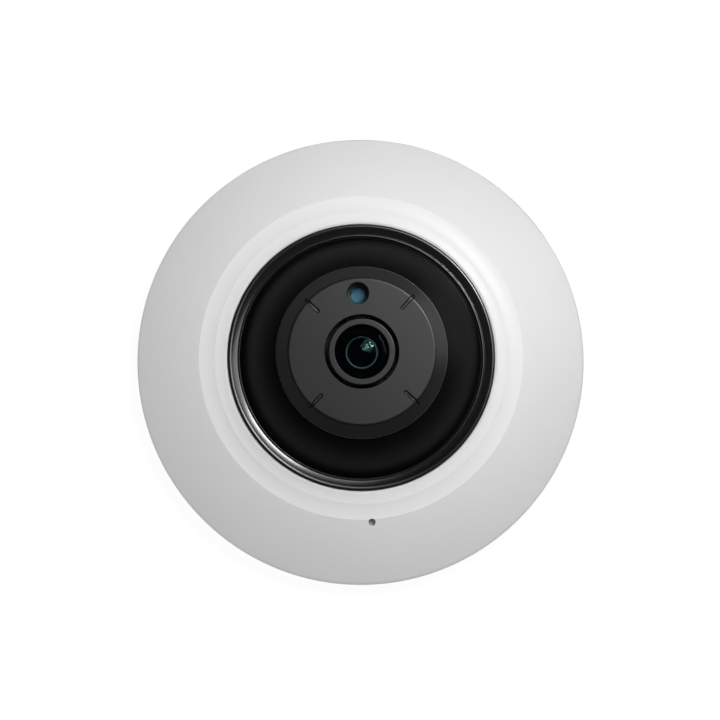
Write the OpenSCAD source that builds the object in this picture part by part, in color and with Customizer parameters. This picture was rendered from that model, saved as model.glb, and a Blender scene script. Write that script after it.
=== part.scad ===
// Round surface-mounted fisheye network camera, lying on the back of its mounting plate.
// The origin is the middle of the plate's mounting face, +Z points out of the lens and +Y points
// from the lens to the light sensor. All sizes are in millimetres.

/* [Front cover] */
// Outer diameter of the cover
cover_d = 119.9; // [119.5:0.1:121]
// Wall of the cover
cover_wall = 2.0; // [1.8:0.1:2.2]
// Height of the cover's lower edge over the mounting face
cover_lift = 0.9; // [0.5:0.1:1.4]
// Height of the top of the straight side wall
cover_side_top = 4.6; // [4.4:0.1:5]
// Radius of the rolled outer edge
cover_edge_round = 2.0; // [1.8:0.1:2.2]
// Bulge of the dome, in degrees either side of its chord
dome_bulge = 5.4; // [4.4:0.2:6.4]
// Radius of the opening that holds the bezel
opening_r = 35.5; // [35.3:0.1:35.8]
// Width of the inner stepped ring, from its edge in to the lip
inner_ring_w = 2.7; // [2.4:0.1:3]
// Width of the outer stepped ring, from its edge in to the inner ring's edge
outer_ring_w = 4.2; // [3.9:0.1:4.5]
// Height of the outer stepped ring
step_outer_z = 18.2; // [18:0.1:18.6]
// Rise from the outer ring to the inner ring
step_rise = 0.7; // [0.5:0.1:0.9]
// Width of the flat that ends each stepped ring
step_flat = 1.9; // [1.6:0.1:2.1]
// Rise from the inner ring to the lip of the opening
lip_rise = 0.4; // [0.3:0.1:0.6]
// Radius of the microphone hole
mic_hole_r = 0.95; // [0.8:0.05:1.1]
// Distance from the outer ring's edge out to the microphone hole
mic_offset = 0.7; // [0.5:0.1:1]

/* [Bezel and window] */
// Width of the bezel ring
bezel_w = 3.5; // [3.4:0.05:3.6]
// Height of the bezel's bead over the lip of the cover
bezel_proud = 0.3; // [0.1:0.1:0.5]
// Gap between the bezel and the window at its foot
window_gap = 0.3; // [0.25:0.05:0.4]
// Height of the window's foot
window_foot_z = 19.1; // [18.9:0.1:19.3]
// Height of the window's upper edge
window_top_z = 31.5; // [31:0.1:32]
// Wall of the window
window_wall = 1.8; // [1.6:0.1:2]
// Bulge of the window's curve, in degrees either side of its chord
window_bulge = 15; // [12:1:17]

/* [Lens turret] */
// Outer radius of the turret's side wall
turret_r = 22.45; // [22.2:0.05:22.6]
// Height of the turret's flat face
turret_top_z = 39.0; // [38.6:0.1:39.4]
// Wall of the turret
turret_wall = 1.6; // [1.4:0.1:1.8]
// Width of the chamfered shoulder
shoulder_w = 3.3; // [3:0.1:3.6]
// Height of the chamfered shoulder
shoulder_h = 3.2; // [2.9:0.1:3.5]
// Radius of the well round the lens
well_r = 9.66; // [9.5:0.02:9.8]
// Distance of the light sensor from the lens axis
light_sensor_y = 15.25; // [15:0.05:15.5]
// Radius of the light sensor's hole
light_hole_r = 2.8; // [2.6:0.1:3]
// Width of the short grooves in the turret's face
groove_w = 1.0; // [0.8:0.1:1.3]
// Depth of the grooves
groove_depth = 1.2; // [1:0.1:1.3]
// Distance from the lens axis to the inner end of a groove
groove_in_r = 15.0; // [14.6:0.1:15.4]
// Length of a groove from round end to round end
groove_l = 5.3; // [4.8:0.1:5.6]

/* [Lens] */
// Drop from the turret's face to the top of the lens ring
lens_ring_drop = 0.55; // [0.4:0.05:0.8]
// Outer radius of the lens ring
lens_ring_r = 8.74; // [8.6:0.02:8.9]
// Inner radius of the lens ring
lens_ring_in_r = 6.98; // [6.9:0.02:7.1]
// Rise of the front glass over the lens ring
glass_rise = 2.75; // [2.6:0.05:2.8]
// Radius of the outer face of the front glass
glass_face_r = 9.2; // [9:0.1:9.4]
// Radius of the front glass at its edge
glass_edge_r = 7.5; // [7.4:0.05:7.55]
// Radius of the threaded neck of the barrel
neck_r = 6.0; // [5.8:0.1:6.2]

/* [Mounting plate] */
// Thickness of the plate
plate_t = 1.5; // [1.2:0.1:1.6]
// Distance from the edge of the housing in to the edge of the plate
plate_inset = 11.6; // [11.2:0.1:12]
// Radius of the cable hole
cable_hole_r = 13.0; // [11.5:0.5:14]
// Diameter of the circle on which the wall screw holes lie
screw_circle_d = 70; // [68:1:71]
// Radius of a wall screw hole
screw_hole_r = 2.1; // [1.8:0.1:2.3]
// Turn between the locked and the open position, in degrees
twist_angle = 15; // [12:1:16]
// Distance from the edge of the plate in to the lock studs
stud_inset = 6; // [5.5:0.1:6.5]

/* [Housing and boards] */
// Height of the housing's rim over the mounting face
housing_lift = 1.7; // [1.6:0.1:1.9]
// Gap between the housing and the wall of the cover
housing_gap = 0.35; // [0.25:0.05:0.5]
// Thickness of the housing's floor
floor_t = 1.8; // [1.6:0.1:1.8]
// Room for screw heads between the plate and the housing's floor
head_room = 2.5; // [2.4:0.1:2.6]
// Length of the stand-offs under the main board
standoff_l = 5.8; // [5.8:0.1:6]
// Gap between the main board and the cover or its screw bosses
board_gap = 1.0; // [0.8:0.1:1.5]
// Thickness of the main board
board_t = 1.6; // [1.5:0.1:1.6]
// Height of the chassis feet
foot_l = 2.2; // [2.1:0.1:2.3]
// Thickness of the chassis
chassis_t = 1.2; // [1.1:0.1:1.2]
// Travel of the filter slide
filter_travel = 5.5; // [5.4:0.05:5.5]
// Travel of the reset button
reset_travel = 0.3; // [0.2:0.05:0.3]

/* [Hidden] */

$fn = 96;

// Overrun of every cut past the face that it opens
over = 0.5;
// Gap between pieces that sit on or in each other
seat = 0.02;
// Radial clearance of turning and sliding fits
running = 0.08;
// Radial clearance of the filter rotor on its pin
fine_running = 0.05;
// Side clearance of loose moving pieces
loose = 0.15;
// Steps of a drawn arc
arc_steps = 14;

// Heights that follow from the stack of plate, housing, boards and chassis
floor_z = plate_t + head_room;
floor_top = floor_z + floor_t;
rim_top = housing_lift + floor_t;
board_z = floor_top + standoff_l;
board_top = board_z + board_t;
chassis_z = board_top + foot_l;
chassis_top = chassis_z + chassis_t;

// Cover: outline of the dome between the rolled edge and the outer stepped ring
lip_w = 0.6;
lip_r = opening_r + lip_w;
step_inner_r = lip_r + inner_ring_w;
step_outer_r = step_inner_r + outer_ring_w;
mic_r = step_outer_r + mic_offset;
cover_r = cover_d / 2;
cover_chamfer = 0.75;
roll_centre = [cover_r - cover_edge_round, cover_side_top];
dome_end = [step_outer_r, step_outer_z];
dome_reach = norm(dome_end - roll_centre);
dome_chord = cover_edge_round * sin(dome_bulge)
    + sqrt(dome_reach ^ 2 - (cover_edge_round * cos(dome_bulge)) ^ 2);
roll_turn = bearing(roll_centre, dome_end)
    - acos((cover_edge_round - dome_chord * sin(dome_bulge)) / dome_reach);
dome_start = roll_centre + cover_edge_round * [cos(roll_turn), sin(roll_turn)];
dome_r = arc_radius(dome_start, dome_end, dome_bulge);
dome_centre = arc_centre(dome_start, dome_end, dome_bulge);
inner_dome_r = dome_r - cover_wall;
step_inner_z = step_outer_z + step_rise;
lip_z = step_inner_z + lip_rise;
// Shares of a stepped ring's width that its flat may take, and of its rise that the flat has
flat_share = 0.52;
flat_rise_share = 0.12;
// Inner end of the dome, straight under the outer stepped ring's edge
dome_in_end = dome_centre + inner_dome_r * (dome_end - dome_centre) / dome_r;

// Ledge inside the opening, which carries the window
ledge_w = 3.1;
ledge_t = 1.6;
ledge_top = step_outer_z - cover_wall;
ledge_in_r = opening_r - ledge_w;

// Window gasket, window flange and bezel
bezel_in_r = opening_r - bezel_w;
window_foot_r = bezel_in_r - window_gap;
window_gasket_t = 0.78;
flange_z = ledge_top + window_gasket_t + 2 * seat;
flange_t = 1.2;
flange_w = 2.5;
flange_r = window_foot_r + flange_w;
window_gasket_inset = 0.1;
bezel_bead_w = 1.0;
bezel_lip_foot_w = 0.95;
bezel_valley_r = bezel_in_r + bezel_lip_foot_w;
bezel_valley_drop = 0.85;
bezel_lip_drop = 0.35;
bezel_lip_w = 0.65;
// Turn of the bead from its outer side over its top to the slope, in degrees
bezel_bead_turn = 110;
bezel_top_z = lip_z + bezel_proud;
bezel_skirt_r = opening_r - 2 * running;

// Window: arc from the foot to the edge round the turret
collar_gap = 0.2;
collar_t = 1.35;
collar_h = 3.9;
collar_r = turret_r + collar_gap;
window_foot = [window_foot_r, window_foot_z];
window_top = [collar_r, window_top_z];
window_r = arc_radius(window_foot, window_top, window_bulge);
window_centre = arc_centre(window_foot, window_top, window_bulge);
window_in_r = window_r - window_wall;
seal_t = 0.9;

// Turret
turret_in_r = turret_r - turret_wall;
turret_face_share = 1.15;
turret_ceiling = turret_top_z - turret_face_share * turret_wall;
shoulder_r = turret_r - shoulder_w;
shoulder_z = turret_top_z - shoulder_h;
edge_round = 0.4;
well_wall = 1.2;
well_h = 2.7;
light_tube_wall = 0.9;
light_tube_h = 6.0;
groove_angles = [43.5, 133.5, 223.5, 313.5];
turret_boss_r = 1.8;
turret_boss_h = 6;
turret_boss_share = 0.9;
turret_boss_circle = turret_in_r - turret_boss_share * turret_boss_r;
turret_boss_angles = [45, 165, 285];

// Screw sizes: shank radius, head radius, head height
m2_r = 1.0;
m2_head_r = 1.9;
m2_head_h = 1.2;
m16_r = 0.7;
m16_head_r = 1.2;
m16_head_h = 0.8;
// Share of a tapped hole's depth that its screw fills
screw_fill_share = 0.8;
cover_screw_r = 1.25;
cover_screw_head_r = 2.3;
cover_screw_head_h = 1.4;
cover_screw_inset = 6.1;
cover_screw_end_gap = 0.3;
cover_screw_angles = [90, 210, 330];
cover_boss_r = 3.0;
housing_boss_r = 3.6;
housing_boss_h = 1.7;
housing_boss_top = rim_top + housing_boss_h;
housing_r = cover_r - cover_wall - housing_gap;
cover_screw_circle = housing_r - cover_screw_inset;
cover_screw_seat = housing_lift + cover_screw_head_h + loose - seat;
cover_hole_top = dome_height(inner_dome_r, cover_screw_circle);
cover_screw_l = cover_hole_top - cover_screw_end_gap - cover_screw_seat;

// Mounting plate and housing
plate_r = housing_r - plate_inset;
stud_circle_r = plate_r - stud_inset;
rim_in_r = plate_r + running;
rim_step_t = 1.6;
gasket_r = 0.6;
cover_gasket_inset = 2.2;
gasket_circle = housing_r - cover_gasket_inset;
gasket_z = dome_height(inner_dome_r - gasket_r - 2 * seat, gasket_circle);
gasket_wall_t = 1.6;
boss_r = 3.0;
boss_hole_l = 4.6;
board_boss_angles = [75, 222, 318];
board_boss_inset = 4;
board_r = min(dome_radius(inner_dome_r, board_top), cover_screw_circle - cover_boss_r) - board_gap;
board_boss_circle = board_r - board_boss_inset;
chassis_foot_x = 13.5;
chassis_foot_y = 23.4;
chassis_foot_r = 2.6;
bay_x = [-19, 27];
bay_y = [-18, 16];
bay_wall = 1.4;
bay_gap = 0.3;

// Lock studs of the mounting plate
stud_angles = [30, 150, 270];
stud_rivet_r = 1.5;
stud_r = 2.0;
stud_head_r = 3.6;
stud_head_t = 1.0;
stud_entry_gap = 0.4;
stud_play = 0.2;
stud_recess = 0.1;

// Sockets under the main board
jack_l = 21;
jack_x = [bay_x[0] - jack_l, bay_x[0]];
jack_y = [-16, 0];
jack_floor_gap = 0.2;
jack_over_board = 1.2;
jack_z = [floor_z + jack_floor_gap, board_top + jack_over_board];
plug_w = 11.8;
plug_h = 7.2;
plug_l = 14;
plug_floor = 1.0;
latch_w = 6.4;
latch_h = 1.2;
contact_r = 0.22;
contact_pitch = 1.27;
contact_l = 8.6;
contact_slope = 12;
power_l = 14;
power_x = [bay_x[0] - power_l, bay_x[0]];
power_y = [4.4, 13.6];
power_h = 7.0;
power_bore_r = 2.8;
power_bore_l = 9.5;
power_pin_r = 1.0;
power_pin_l = 8.5;
socket_size = [15, 13.4, 1.43];
card_play = 0.15;
socket_gap = 0.25;
socket_x = bay_x[1] - socket_size[0] - card_play - socket_gap;
socket_y = -13.2;
card_size = [15, 11, 0.75];
card_proud = 0.8;
switch_w = 5.2;
switch_h = 2.5;
switch_x = 20;
switch_y = 9.5;
button_r = 1.25;
button_l = 2.2;
button_bore_l = 1.05;
button_end_gap = 0.05;

// Chips and the microphone
processor_size = [12, 12, 1.2];
processor_x = 24.2;
memory_size = [9, 7, 1.0];
memory_y = 24.5;
transformer_size = [12.7, 7, 2.0];
transformer_x = -21.5;
transformer_y = 11.5;
mic_capsule_r = 1.8;
mic_capsule_h = 0.95;
mic_boot_r = 2.7;

// Chassis
chassis_in_r = 17.3;
chassis_out_r = 31.0;
ir_boss_r = 1.5;
ir_boss_h = 1.8;
ir_boss_circle = 28;
ir_boss_angles = [90, 210, 330];

// Infrared board
ir_board_z = chassis_top + ir_boss_h + seat;
ir_board_t = 1.0;
ir_board_gap = 0.65;
ir_board_in_r = turret_r + ir_board_gap;
ir_board_out_r = 29.6;
led_circle = 26.2;
led_angles = [30, 150, 270];
led_w = 3.4;
led_h = 0.8;
led_dome_r = 1.5;

// Sensor board, its spacers and the image sensor
spacer_h = 2.0;
spacer_r = 1.5;
spacer_x = 9.0;
spacer_y = [-9.6, 12.1];
sensor_board_x = 10.2;
sensor_board_y = [-11.2, 13.6];
sensor_board_t = 1.2;
sensor_board_z = board_top + spacer_h + 2 * seat;
sensor_z = sensor_board_z + sensor_board_t + seat;
sensor_size = [9.2, 8.4, 1.0];
sensor_glass_size = [8.4, 7.6, 0.5];
flex_w = 6;
flex_t = 0.28;

// Filter switcher under the lens
base_x = 9.8;
base_y = [-8, 7.2];
base_wing_x = 6.8;
base_wing_y = 13.4;
base_wall = 0.8;
sensor_room = [10.8, 10.0];
sensor_room_h = 1.7;
shelf_z = sensor_z + sensor_room_h;
shelf_t = 0.6;
light_path_r = 2.2;
slide_floor = shelf_z + shelf_t;
slide_h = 1.5;
lid_z = slide_floor + slide_h + seat;
lid_t = 1.6;
lid_y = 3.3;
frame_t = 1.2;
frame_y = 3.2;
frame_end = 3.1;
frame_z = slide_floor + loose;
filter_w = 5.0;
filter_glass_t = 0.6;
tab_w = 2.8;
rotor_y = 9.8;
rotor_swing = 60;
arm_l = filter_travel;
arm_pin_r = 0.45;
arm_t = 0.7;
arm_w = 1.4;
arm_hub_r = 1.2;
magnet_r = 2.1;
magnet_h = 2.9;
shaft_r = 0.4;
arm_z = slide_floor + slide_h + seat;
magnet_z = arm_z - magnet_h;
pin_rest = [-arm_l * sin(rotor_swing / 2), rotor_y - arm_l * cos(rotor_swing / 2)];
slot_play = 0.15;
yoke_t = 0.8;
yoke_rise = 1.0;
yoke_z = magnet_z + yoke_rise;
pole_gap = 0.35;
pole_x = magnet_r + pole_gap;
coil_x = 4.55;
coil_y = [8.4, 12.0];
coil_r = 1.25;
coil_bore_share = 0.72;

// Lens holder, lock nut and barrel
holder_base_t = 1.6;
holder_z = lid_z + lid_t + seat;
holder_tube_r = 7.9;
holder_tube_top = 31.4;
holder_y = 7.9;
holder_screw_x = 7.5;
holder_screw_y = -5.8;
nut_t = 1.5;
nut_r = 8.3;
nut_notch_w = 1.4;
nut_notch_depth = 0.7;
nut_notches = 6;
lens_ring_top = turret_top_z - lens_ring_drop;
lens_ring_h = 1.55;
lens_ring_edge = 0.25;
glass_play = 0.1;
barrel_top = lens_ring_top - lens_ring_h - seat;
nut_gap = 0.3;
head_z = holder_tube_top + nut_t + nut_gap;
head_step = 0.14;
head_r = lens_ring_r - head_step;
barrel_bottom = 23.9;
group_r = 4.2;
group_bottom = 25.1;
group_lip_r = 3.5;
second_seat_z = 32.2;
second_r = 5.15;
glass_seat_z = 35.9;
lens_top_z = lens_ring_top + glass_rise;
glass_centre_z = lens_top_z - glass_face_r;
glass_hollow_r = 5.0;
glass_middle_t = 1.4;
spacer_ring_r = 4.05;
spacer_ring_h = 1.28;
spacer_ring_edge = 0.3;
second_top_face_r = 6.0;
second_bottom_face_r = 8.0;
second_hollow_r = 3.4;
stop_z = 29.6;
stop_t = 0.2;
stop_hole_r = 1.3;
third_face_r = 9;
rear_face_r = 11;

// Light sensor
sensor_tip_z = 32.4;
photocell_r = 2.05;
photocell_h = 2.4;
lead_r = 0.25;
lead_x = 0.9;
sleeve_overlap = 0.2;

// Angle of the line from p up to q, measured over the inward horizontal
function chord_angle(p, q) = atan2(q[1] - p[1], p[0] - q[0]);
// Radius of the arc from p to q that turns by the given angle either side of its chord
function arc_radius(p, q, turn) = norm(q - p) / (2 * sin(turn));
// Centre of that arc, which bulges outwards
function arc_centre(p, q, turn) =
    (p + q) / 2 - arc_radius(p, q, turn) * cos(turn)
    * [sin(chord_angle(p, q)), cos(chord_angle(p, q))];
// Points on a circle round c from angle a to angle b
function arc_points(c, r, a, b, steps) =
    [for (i = [0:steps]) let (t = a + (b - a) * i / steps) c + r * [cos(t), sin(t)]];
// Angle at which the point p is seen from c
function bearing(c, p) = atan2(p[1] - c[1], p[0] - c[0]);
// Height and radius on an arc round the dome's centre
function dome_height(r, x) = dome_centre[1] + sqrt(r * r - (x - dome_centre[0]) ^ 2);
function dome_radius(r, z) = dome_centre[0] + sqrt(r * r - (z - dome_centre[1]) ^ 2);
// Height on the inner arc of the window at radius x
function window_in_height(x) =
    window_centre[1] + sqrt(window_in_r * window_in_r - (x - window_centre[0]) ^ 2);

// Outer outline of the cover from its lower edge to the opening
cover_outline = concat(
    [[cover_r - cover_chamfer, cover_lift], [cover_r, cover_lift + cover_chamfer]],
    arc_points(roll_centre, cover_edge_round, 0, roll_turn, 6),
    arc_points(dome_centre, dome_r, bearing(dome_centre, dome_start),
        bearing(dome_centre, dome_end), arc_steps),
    step_points(step_outer_r, step_outer_z, step_inner_r, step_rise),
    step_points(step_inner_r, step_inner_z, lip_r, lip_rise),
    [[opening_r, lip_z - 0.5 * (lip_r - opening_r)]]
);

// One stepped ring: a flat behind the edge at r, easing into a slope up to the next edge
function step_points(r, z, next_r, rise) =
    let (flat = min(step_flat, flat_share * (r - next_r)))
    [for (i = [1:6]) let (s = i / 6) [r - flat * s, z + flat_rise_share * rise * s * s],
     [next_r, z + rise]];

module ring(outer, inner, z, h) {
    translate([0, 0, z])
        difference() {
            cylinder(r = outer, h = h);
            translate([0, 0, -over]) cylinder(r = inner, h = h + 2 * over);
        }
}

module disc(r, z, h) {
    translate([0, 0, z]) cylinder(r = r, h = h);
}

module box(x, y, z, w, d, h) {
    translate([x, y, z]) cube([w, d, h]);
}

module around(circle_r, angles) {
    for (a = angles) rotate(a) translate([circle_r, 0, 0]) children();
}

module at_feet() {
    for (x = [-1, 1], y = [-1, 1]) translate([x * chassis_foot_x, y * chassis_foot_y, 0]) children();
}

module screw(shank_r, head_r, head_h, head_z, length, drive_r) {
    difference() {
        union() {
            disc(head_r, head_z, head_h);
            disc(shank_r, head_z - length, length + seat);
        }
        disc(drive_r, head_z + head_h / 2, head_h, $fn = 6);
    }
}

module cover_solid() {
    edge_z = cover_outline[len(cover_outline) - 1][1];
    rotate_extrude() polygon(concat([[0, cover_lift]], cover_outline, [[0, edge_z]]));
}

module under_cover() {
    inner = inner_dome_r - seat;
    rotate_extrude() polygon(concat(
        [[0, cover_lift]],
        [[roll_centre[0] - seat, cover_lift]],
        arc_points(dome_centre, inner, bearing(dome_centre, dome_start),
            bearing(dome_centre, dome_in_end), arc_steps),
        [[0, dome_in_end[1] - seat]]
    ));
}

module mounting_plate() {
    color("#b9bdc0")
    difference() {
        disc(plate_r, 0, plate_t);
        disc(cable_hole_r, -over, plate_t + 2 * over);
        around(screw_circle_d / 2, [90, 210, 330]) disc(screw_hole_r, -over, plate_t + 2 * over);
        around(stud_circle_r, stud_angles) disc(stud_rivet_r + seat, -over, plate_t + 2 * over);
    }
}

module lock_studs() {
    head_bottom = floor_top + stud_play;
    color("#8f9498")
    around(stud_circle_r, stud_angles) {
        disc(stud_rivet_r, stud_recess, plate_t);
        disc(stud_r, plate_t + seat, head_bottom - plate_t);
        disc(stud_head_r, head_bottom, stud_head_t);
    }
}

module keyhole(angle) {
    slot_r = stud_r + stud_play;
    rotate(angle - twist_angle) {
        rotate_extrude(angle = twist_angle + asin(slot_r / stud_circle_r))
            translate([stud_circle_r - slot_r, floor_z - over]) square([2 * slot_r, floor_t + 2 * over]);
        translate([stud_circle_r, 0, 0])
            disc(stud_head_r + stud_entry_gap, floor_z - over, floor_t + 2 * over);
    }
}

module bay_cut(z, h) {
    box(bay_x[0], bay_y[0], z, bay_x[1] - bay_x[0], bay_y[1] - bay_y[0], h);
}

module socket_cuts(z, h) {
    box(jack_x[0] - loose, jack_y[0] - loose, z, jack_x[1] - jack_x[0] + 2 * loose,
        jack_y[1] - jack_y[0] + 2 * loose, h);
    box(power_x[0] - loose, power_y[0] - loose, z, power_x[1] - power_x[0] + 2 * loose,
        power_y[1] - power_y[0] + 2 * loose, h);
}

module back_housing() {
    gasket_top = gasket_z - gasket_r - seat;
    wall_in = gasket_circle - gasket_wall_t / 2;
    bay_h = board_z - bay_gap - floor_top;
    color("#dcdcda")
    difference() {
        union() {
            rotate_extrude() polygon([
                [0, floor_z], [rim_in_r, floor_z], [rim_in_r, housing_lift], [housing_r, housing_lift],
                [housing_r, rim_top], [wall_in + gasket_wall_t, rim_top],
                [wall_in + gasket_wall_t, gasket_top], [wall_in, gasket_top], [wall_in, rim_top],
                [rim_in_r + rim_step_t, rim_top], [rim_in_r + rim_step_t, floor_top], [0, floor_top]
            ]);
            around(cover_screw_circle, cover_screw_angles)
                disc(housing_boss_r, rim_top - over, housing_boss_top - rim_top + over);
            at_feet() disc(boss_r, floor_top - over, standoff_l + over - seat);
            around(board_boss_circle, board_boss_angles)
                disc(boss_r, floor_top - over, standoff_l + over - seat);
            box(bay_x[0] - bay_wall, bay_y[0] - bay_wall, floor_top - over,
                bay_x[1] - bay_x[0] + 2 * bay_wall, bay_y[1] - bay_y[0] + 2 * bay_wall, bay_h + over);
        }
        bay_cut(floor_z - over, board_z);
        socket_cuts(floor_z - over, board_z);
        for (a = stud_angles) keyhole(a);
        around(cover_screw_circle, cover_screw_angles) {
            disc(cover_screw_r + loose, housing_lift - over, housing_boss_top);
            disc(cover_screw_head_r + loose, housing_lift - over, cover_screw_head_h + loose + over);
        }
        at_feet() disc(m2_r + seat, board_z - boss_hole_l, boss_hole_l + over);
        around(board_boss_circle, board_boss_angles)
            disc(m2_r + seat, board_z - boss_hole_l, boss_hole_l + over);
    }
}

module front_cover() {
    boss_z = housing_boss_top + seat;
    ledge_bottom = ledge_top - ledge_t;
    neck = opening_r + cover_wall;
    color("#eceded")
    difference() {
        union() {
            rotate_extrude() polygon(concat(
                cover_outline,
                [[opening_r, ledge_top], [ledge_in_r, ledge_top], [ledge_in_r, ledge_bottom],
                 [neck, ledge_bottom], [neck, dome_in_end[1]]],
                arc_points(dome_centre, inner_dome_r, bearing(dome_centre, dome_in_end),
                    bearing(dome_centre, dome_start), arc_steps),
                [[cover_r - cover_wall, cover_side_top], [cover_r - cover_wall, cover_lift]]
            ));
            intersection() {
                cover_solid();
                around(cover_screw_circle, cover_screw_angles) disc(cover_boss_r, boss_z, step_outer_z);
            }
        }
        around(cover_screw_circle, cover_screw_angles)
            disc(cover_screw_r + seat, boss_z - over, cover_hole_top - boss_z + over);
        translate([0, -mic_r, 0]) disc(mic_hole_r, board_top, step_outer_z);
    }
}

module cover_gasket() {
    color("#2b2b2b")
    rotate_extrude() translate([gasket_circle, gasket_z]) circle(r = gasket_r);
}

module cover_screws() {
    color("#9a9da0")
    around(cover_screw_circle, cover_screw_angles)
        translate([0, 0, cover_screw_seat]) rotate([180, 0, 0])
            screw(cover_screw_r, cover_screw_head_r, cover_screw_head_h, 0, cover_screw_l, cover_screw_r);
}

module bezel_ring() {
    crest_r = opening_r - bezel_bead_w;
    bead = [opening_r - running - bezel_bead_w / 2, bezel_top_z - bezel_bead_w / 2];
    foot_z = flange_z + flange_t + seat;
    valley_z = bezel_top_z - bezel_valley_drop;
    lip_top = bezel_top_z - bezel_lip_drop;
    color("#101112")
    rotate_extrude() polygon(concat(
        [[bezel_skirt_r, ledge_top + seat], [bezel_skirt_r, bead[1]]],
        arc_points(bead, bezel_bead_w / 2, 0, bezel_bead_turn, 8),
        [[bezel_valley_r, valley_z], [bezel_valley_r - bezel_lip_w / 3, lip_top],
         [bezel_in_r, lip_top], [bezel_in_r, foot_z], [crest_r - running, foot_z],
         [crest_r - running, ledge_top + seat]]
    ));
}

module window() {
    inner_foot_r = window_foot_r - window_wall;
    collar_out_r = collar_r + collar_t;
    collar_in = [collar_out_r, window_in_height(collar_out_r)];
    foot_in = [inner_foot_r, window_in_height(inner_foot_r)];
    color("#1b1b1c")
    rotate_extrude() polygon(concat(
        [[inner_foot_r, flange_z], [flange_r, flange_z], [flange_r, flange_z + flange_t],
         [window_foot_r, flange_z + flange_t]],
        arc_points(window_centre, window_r, bearing(window_centre, window_foot),
            bearing(window_centre, window_top), arc_steps),
        [[collar_r, window_top_z - collar_h], [collar_out_r, window_top_z - collar_h]],
        arc_points(window_centre, window_in_r, bearing(window_centre, collar_in),
            bearing(window_centre, foot_in), arc_steps)
    ));
}

module window_gasket() {
    color("#2b2b2b")
    ring(flange_r - seat, ledge_in_r + window_gasket_inset, ledge_top + seat, window_gasket_t);
}

module light_seal() {
    color("#303030")
    ring(collar_r + collar_t, turret_r + seat, window_top_z - collar_h - seal_t - seat, seal_t);
}

module lens_turret() {
    slope = atan2(shoulder_h, shoulder_w);
    lean = atan2(shoulder_w, shoulder_h);
    upper = turret_top_z - edge_round;
    color("#3c3d3f")
    difference() {
        union() {
            difference() {
                rotate_extrude() polygon(concat(
                    [[turret_in_r, chassis_top + seat], [turret_r, chassis_top + seat]],
                    arc_points([turret_r - edge_round, shoulder_z - edge_round * tan(slope / 2)],
                        edge_round, 0, lean, 4),
                    arc_points([shoulder_r - edge_round * tan(slope / 2), upper], edge_round,
                        lean, lean + slope, 4),
                    [[0, turret_top_z], [0, turret_ceiling], [turret_in_r, turret_ceiling]]
                ));
                around(groove_in_r + groove_w / 2, groove_angles) {
                    for (x = [0, groove_l - groove_w]) translate([x, 0, 0])
                        disc(groove_w / 2, turret_top_z - groove_depth, groove_depth + over);
                    box(0, -groove_w / 2, turret_top_z - groove_depth, groove_l - groove_w, groove_w,
                        groove_depth + over);
                }
            }
            disc(well_r + well_wall, turret_ceiling - well_h, well_h + over);
            translate([0, light_sensor_y, 0])
                disc(light_hole_r + light_tube_wall, turret_ceiling - light_tube_h, light_tube_h + over);
            around(turret_boss_circle, turret_boss_angles)
                disc(turret_boss_r, chassis_top + seat, turret_boss_h);
        }
        disc(well_r, turret_ceiling - well_h - over, turret_top_z);
        translate([0, light_sensor_y, 0])
            disc(light_hole_r, turret_ceiling - light_tube_h - over, turret_top_z);
        around(turret_boss_circle, turret_boss_angles)
            disc(m16_r + seat, chassis_top - over, turret_boss_h - over);
    }
}

module turret_screws() {
    color("#9a9da0")
    around(turret_boss_circle, turret_boss_angles)
        translate([0, 0, chassis_z - seat]) rotate([180, 0, 0])
            screw(m16_r, m16_head_r, m16_head_h, 0, chassis_t + turret_boss_h / 2, m16_r / 2);
}

module chassis() {
    color("#a9acae")
    difference() {
        union() {
            ring(chassis_out_r, chassis_in_r, chassis_z, chassis_t);
            at_feet() disc(chassis_foot_r, board_top + seat, foot_l + chassis_t / 2);
            around(ir_boss_circle, ir_boss_angles) disc(ir_boss_r, chassis_z + chassis_t / 2,
                chassis_t / 2 + ir_boss_h);
        }
        at_feet() disc(m2_r + loose, board_top - over, foot_l + chassis_t + 2 * over);
        around(ir_boss_circle, ir_boss_angles)
            disc(m16_r + seat, chassis_top - over, ir_boss_h + 2 * over);
        around(turret_boss_circle, turret_boss_angles)
            disc(m16_r + loose, chassis_z - over, chassis_t + 2 * over);
    }
}

module chassis_screws() {
    color("#9a9da0")
    at_feet() screw(m2_r, m2_head_r, m2_head_h, chassis_top + seat,
        chassis_t + foot_l + board_t + boss_hole_l * screw_fill_share, m2_r / 2);
}

module main_board() {
    color("#1d5a3a")
    difference() {
        disc(board_r, board_z, board_t);
        box(jack_x[0] - loose, jack_y[0] - loose, board_z - over, jack_x[1] - jack_x[0] + 2 * loose,
            jack_y[1] - jack_y[0] + 2 * loose, board_t + 2 * over);
        at_feet() disc(m2_r + loose, board_z - over, board_t + 2 * over);
        around(board_boss_circle, board_boss_angles)
            disc(m2_r + loose, board_z - over, board_t + 2 * over);
        for (x = [-1, 1]) translate([x * lead_x, light_sensor_y, 0])
            disc(lead_r + loose, board_z - over, board_t + 2 * over);
    }
}

module board_screws() {
    color("#9a9da0")
    around(board_boss_circle, board_boss_angles)
        screw(m2_r, m2_head_r, m2_head_h, board_top + seat,
            board_t + boss_hole_l * screw_fill_share, m2_r / 2);
}

module processor() {
    color("#232425")
    box(processor_x - processor_size[0] / 2, -processor_size[1] / 2, board_top + seat,
        processor_size[0], processor_size[1], processor_size[2]);
}

module thermal_pad() {
    pad_z = board_top + processor_size[2] + 2 * seat;
    color("#7fa3b8")
    box(processor_x - processor_size[0] / 2, -processor_size[1] / 2, pad_z,
        processor_size[0], processor_size[1], chassis_z - seat - pad_z);
}

module memory_chips() {
    color("#232425")
    for (side = [-1, 1])
        box(-memory_size[0] / 2, side * memory_y - memory_size[1] / 2, board_top + seat,
            memory_size[0], memory_size[1], memory_size[2]);
}

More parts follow.
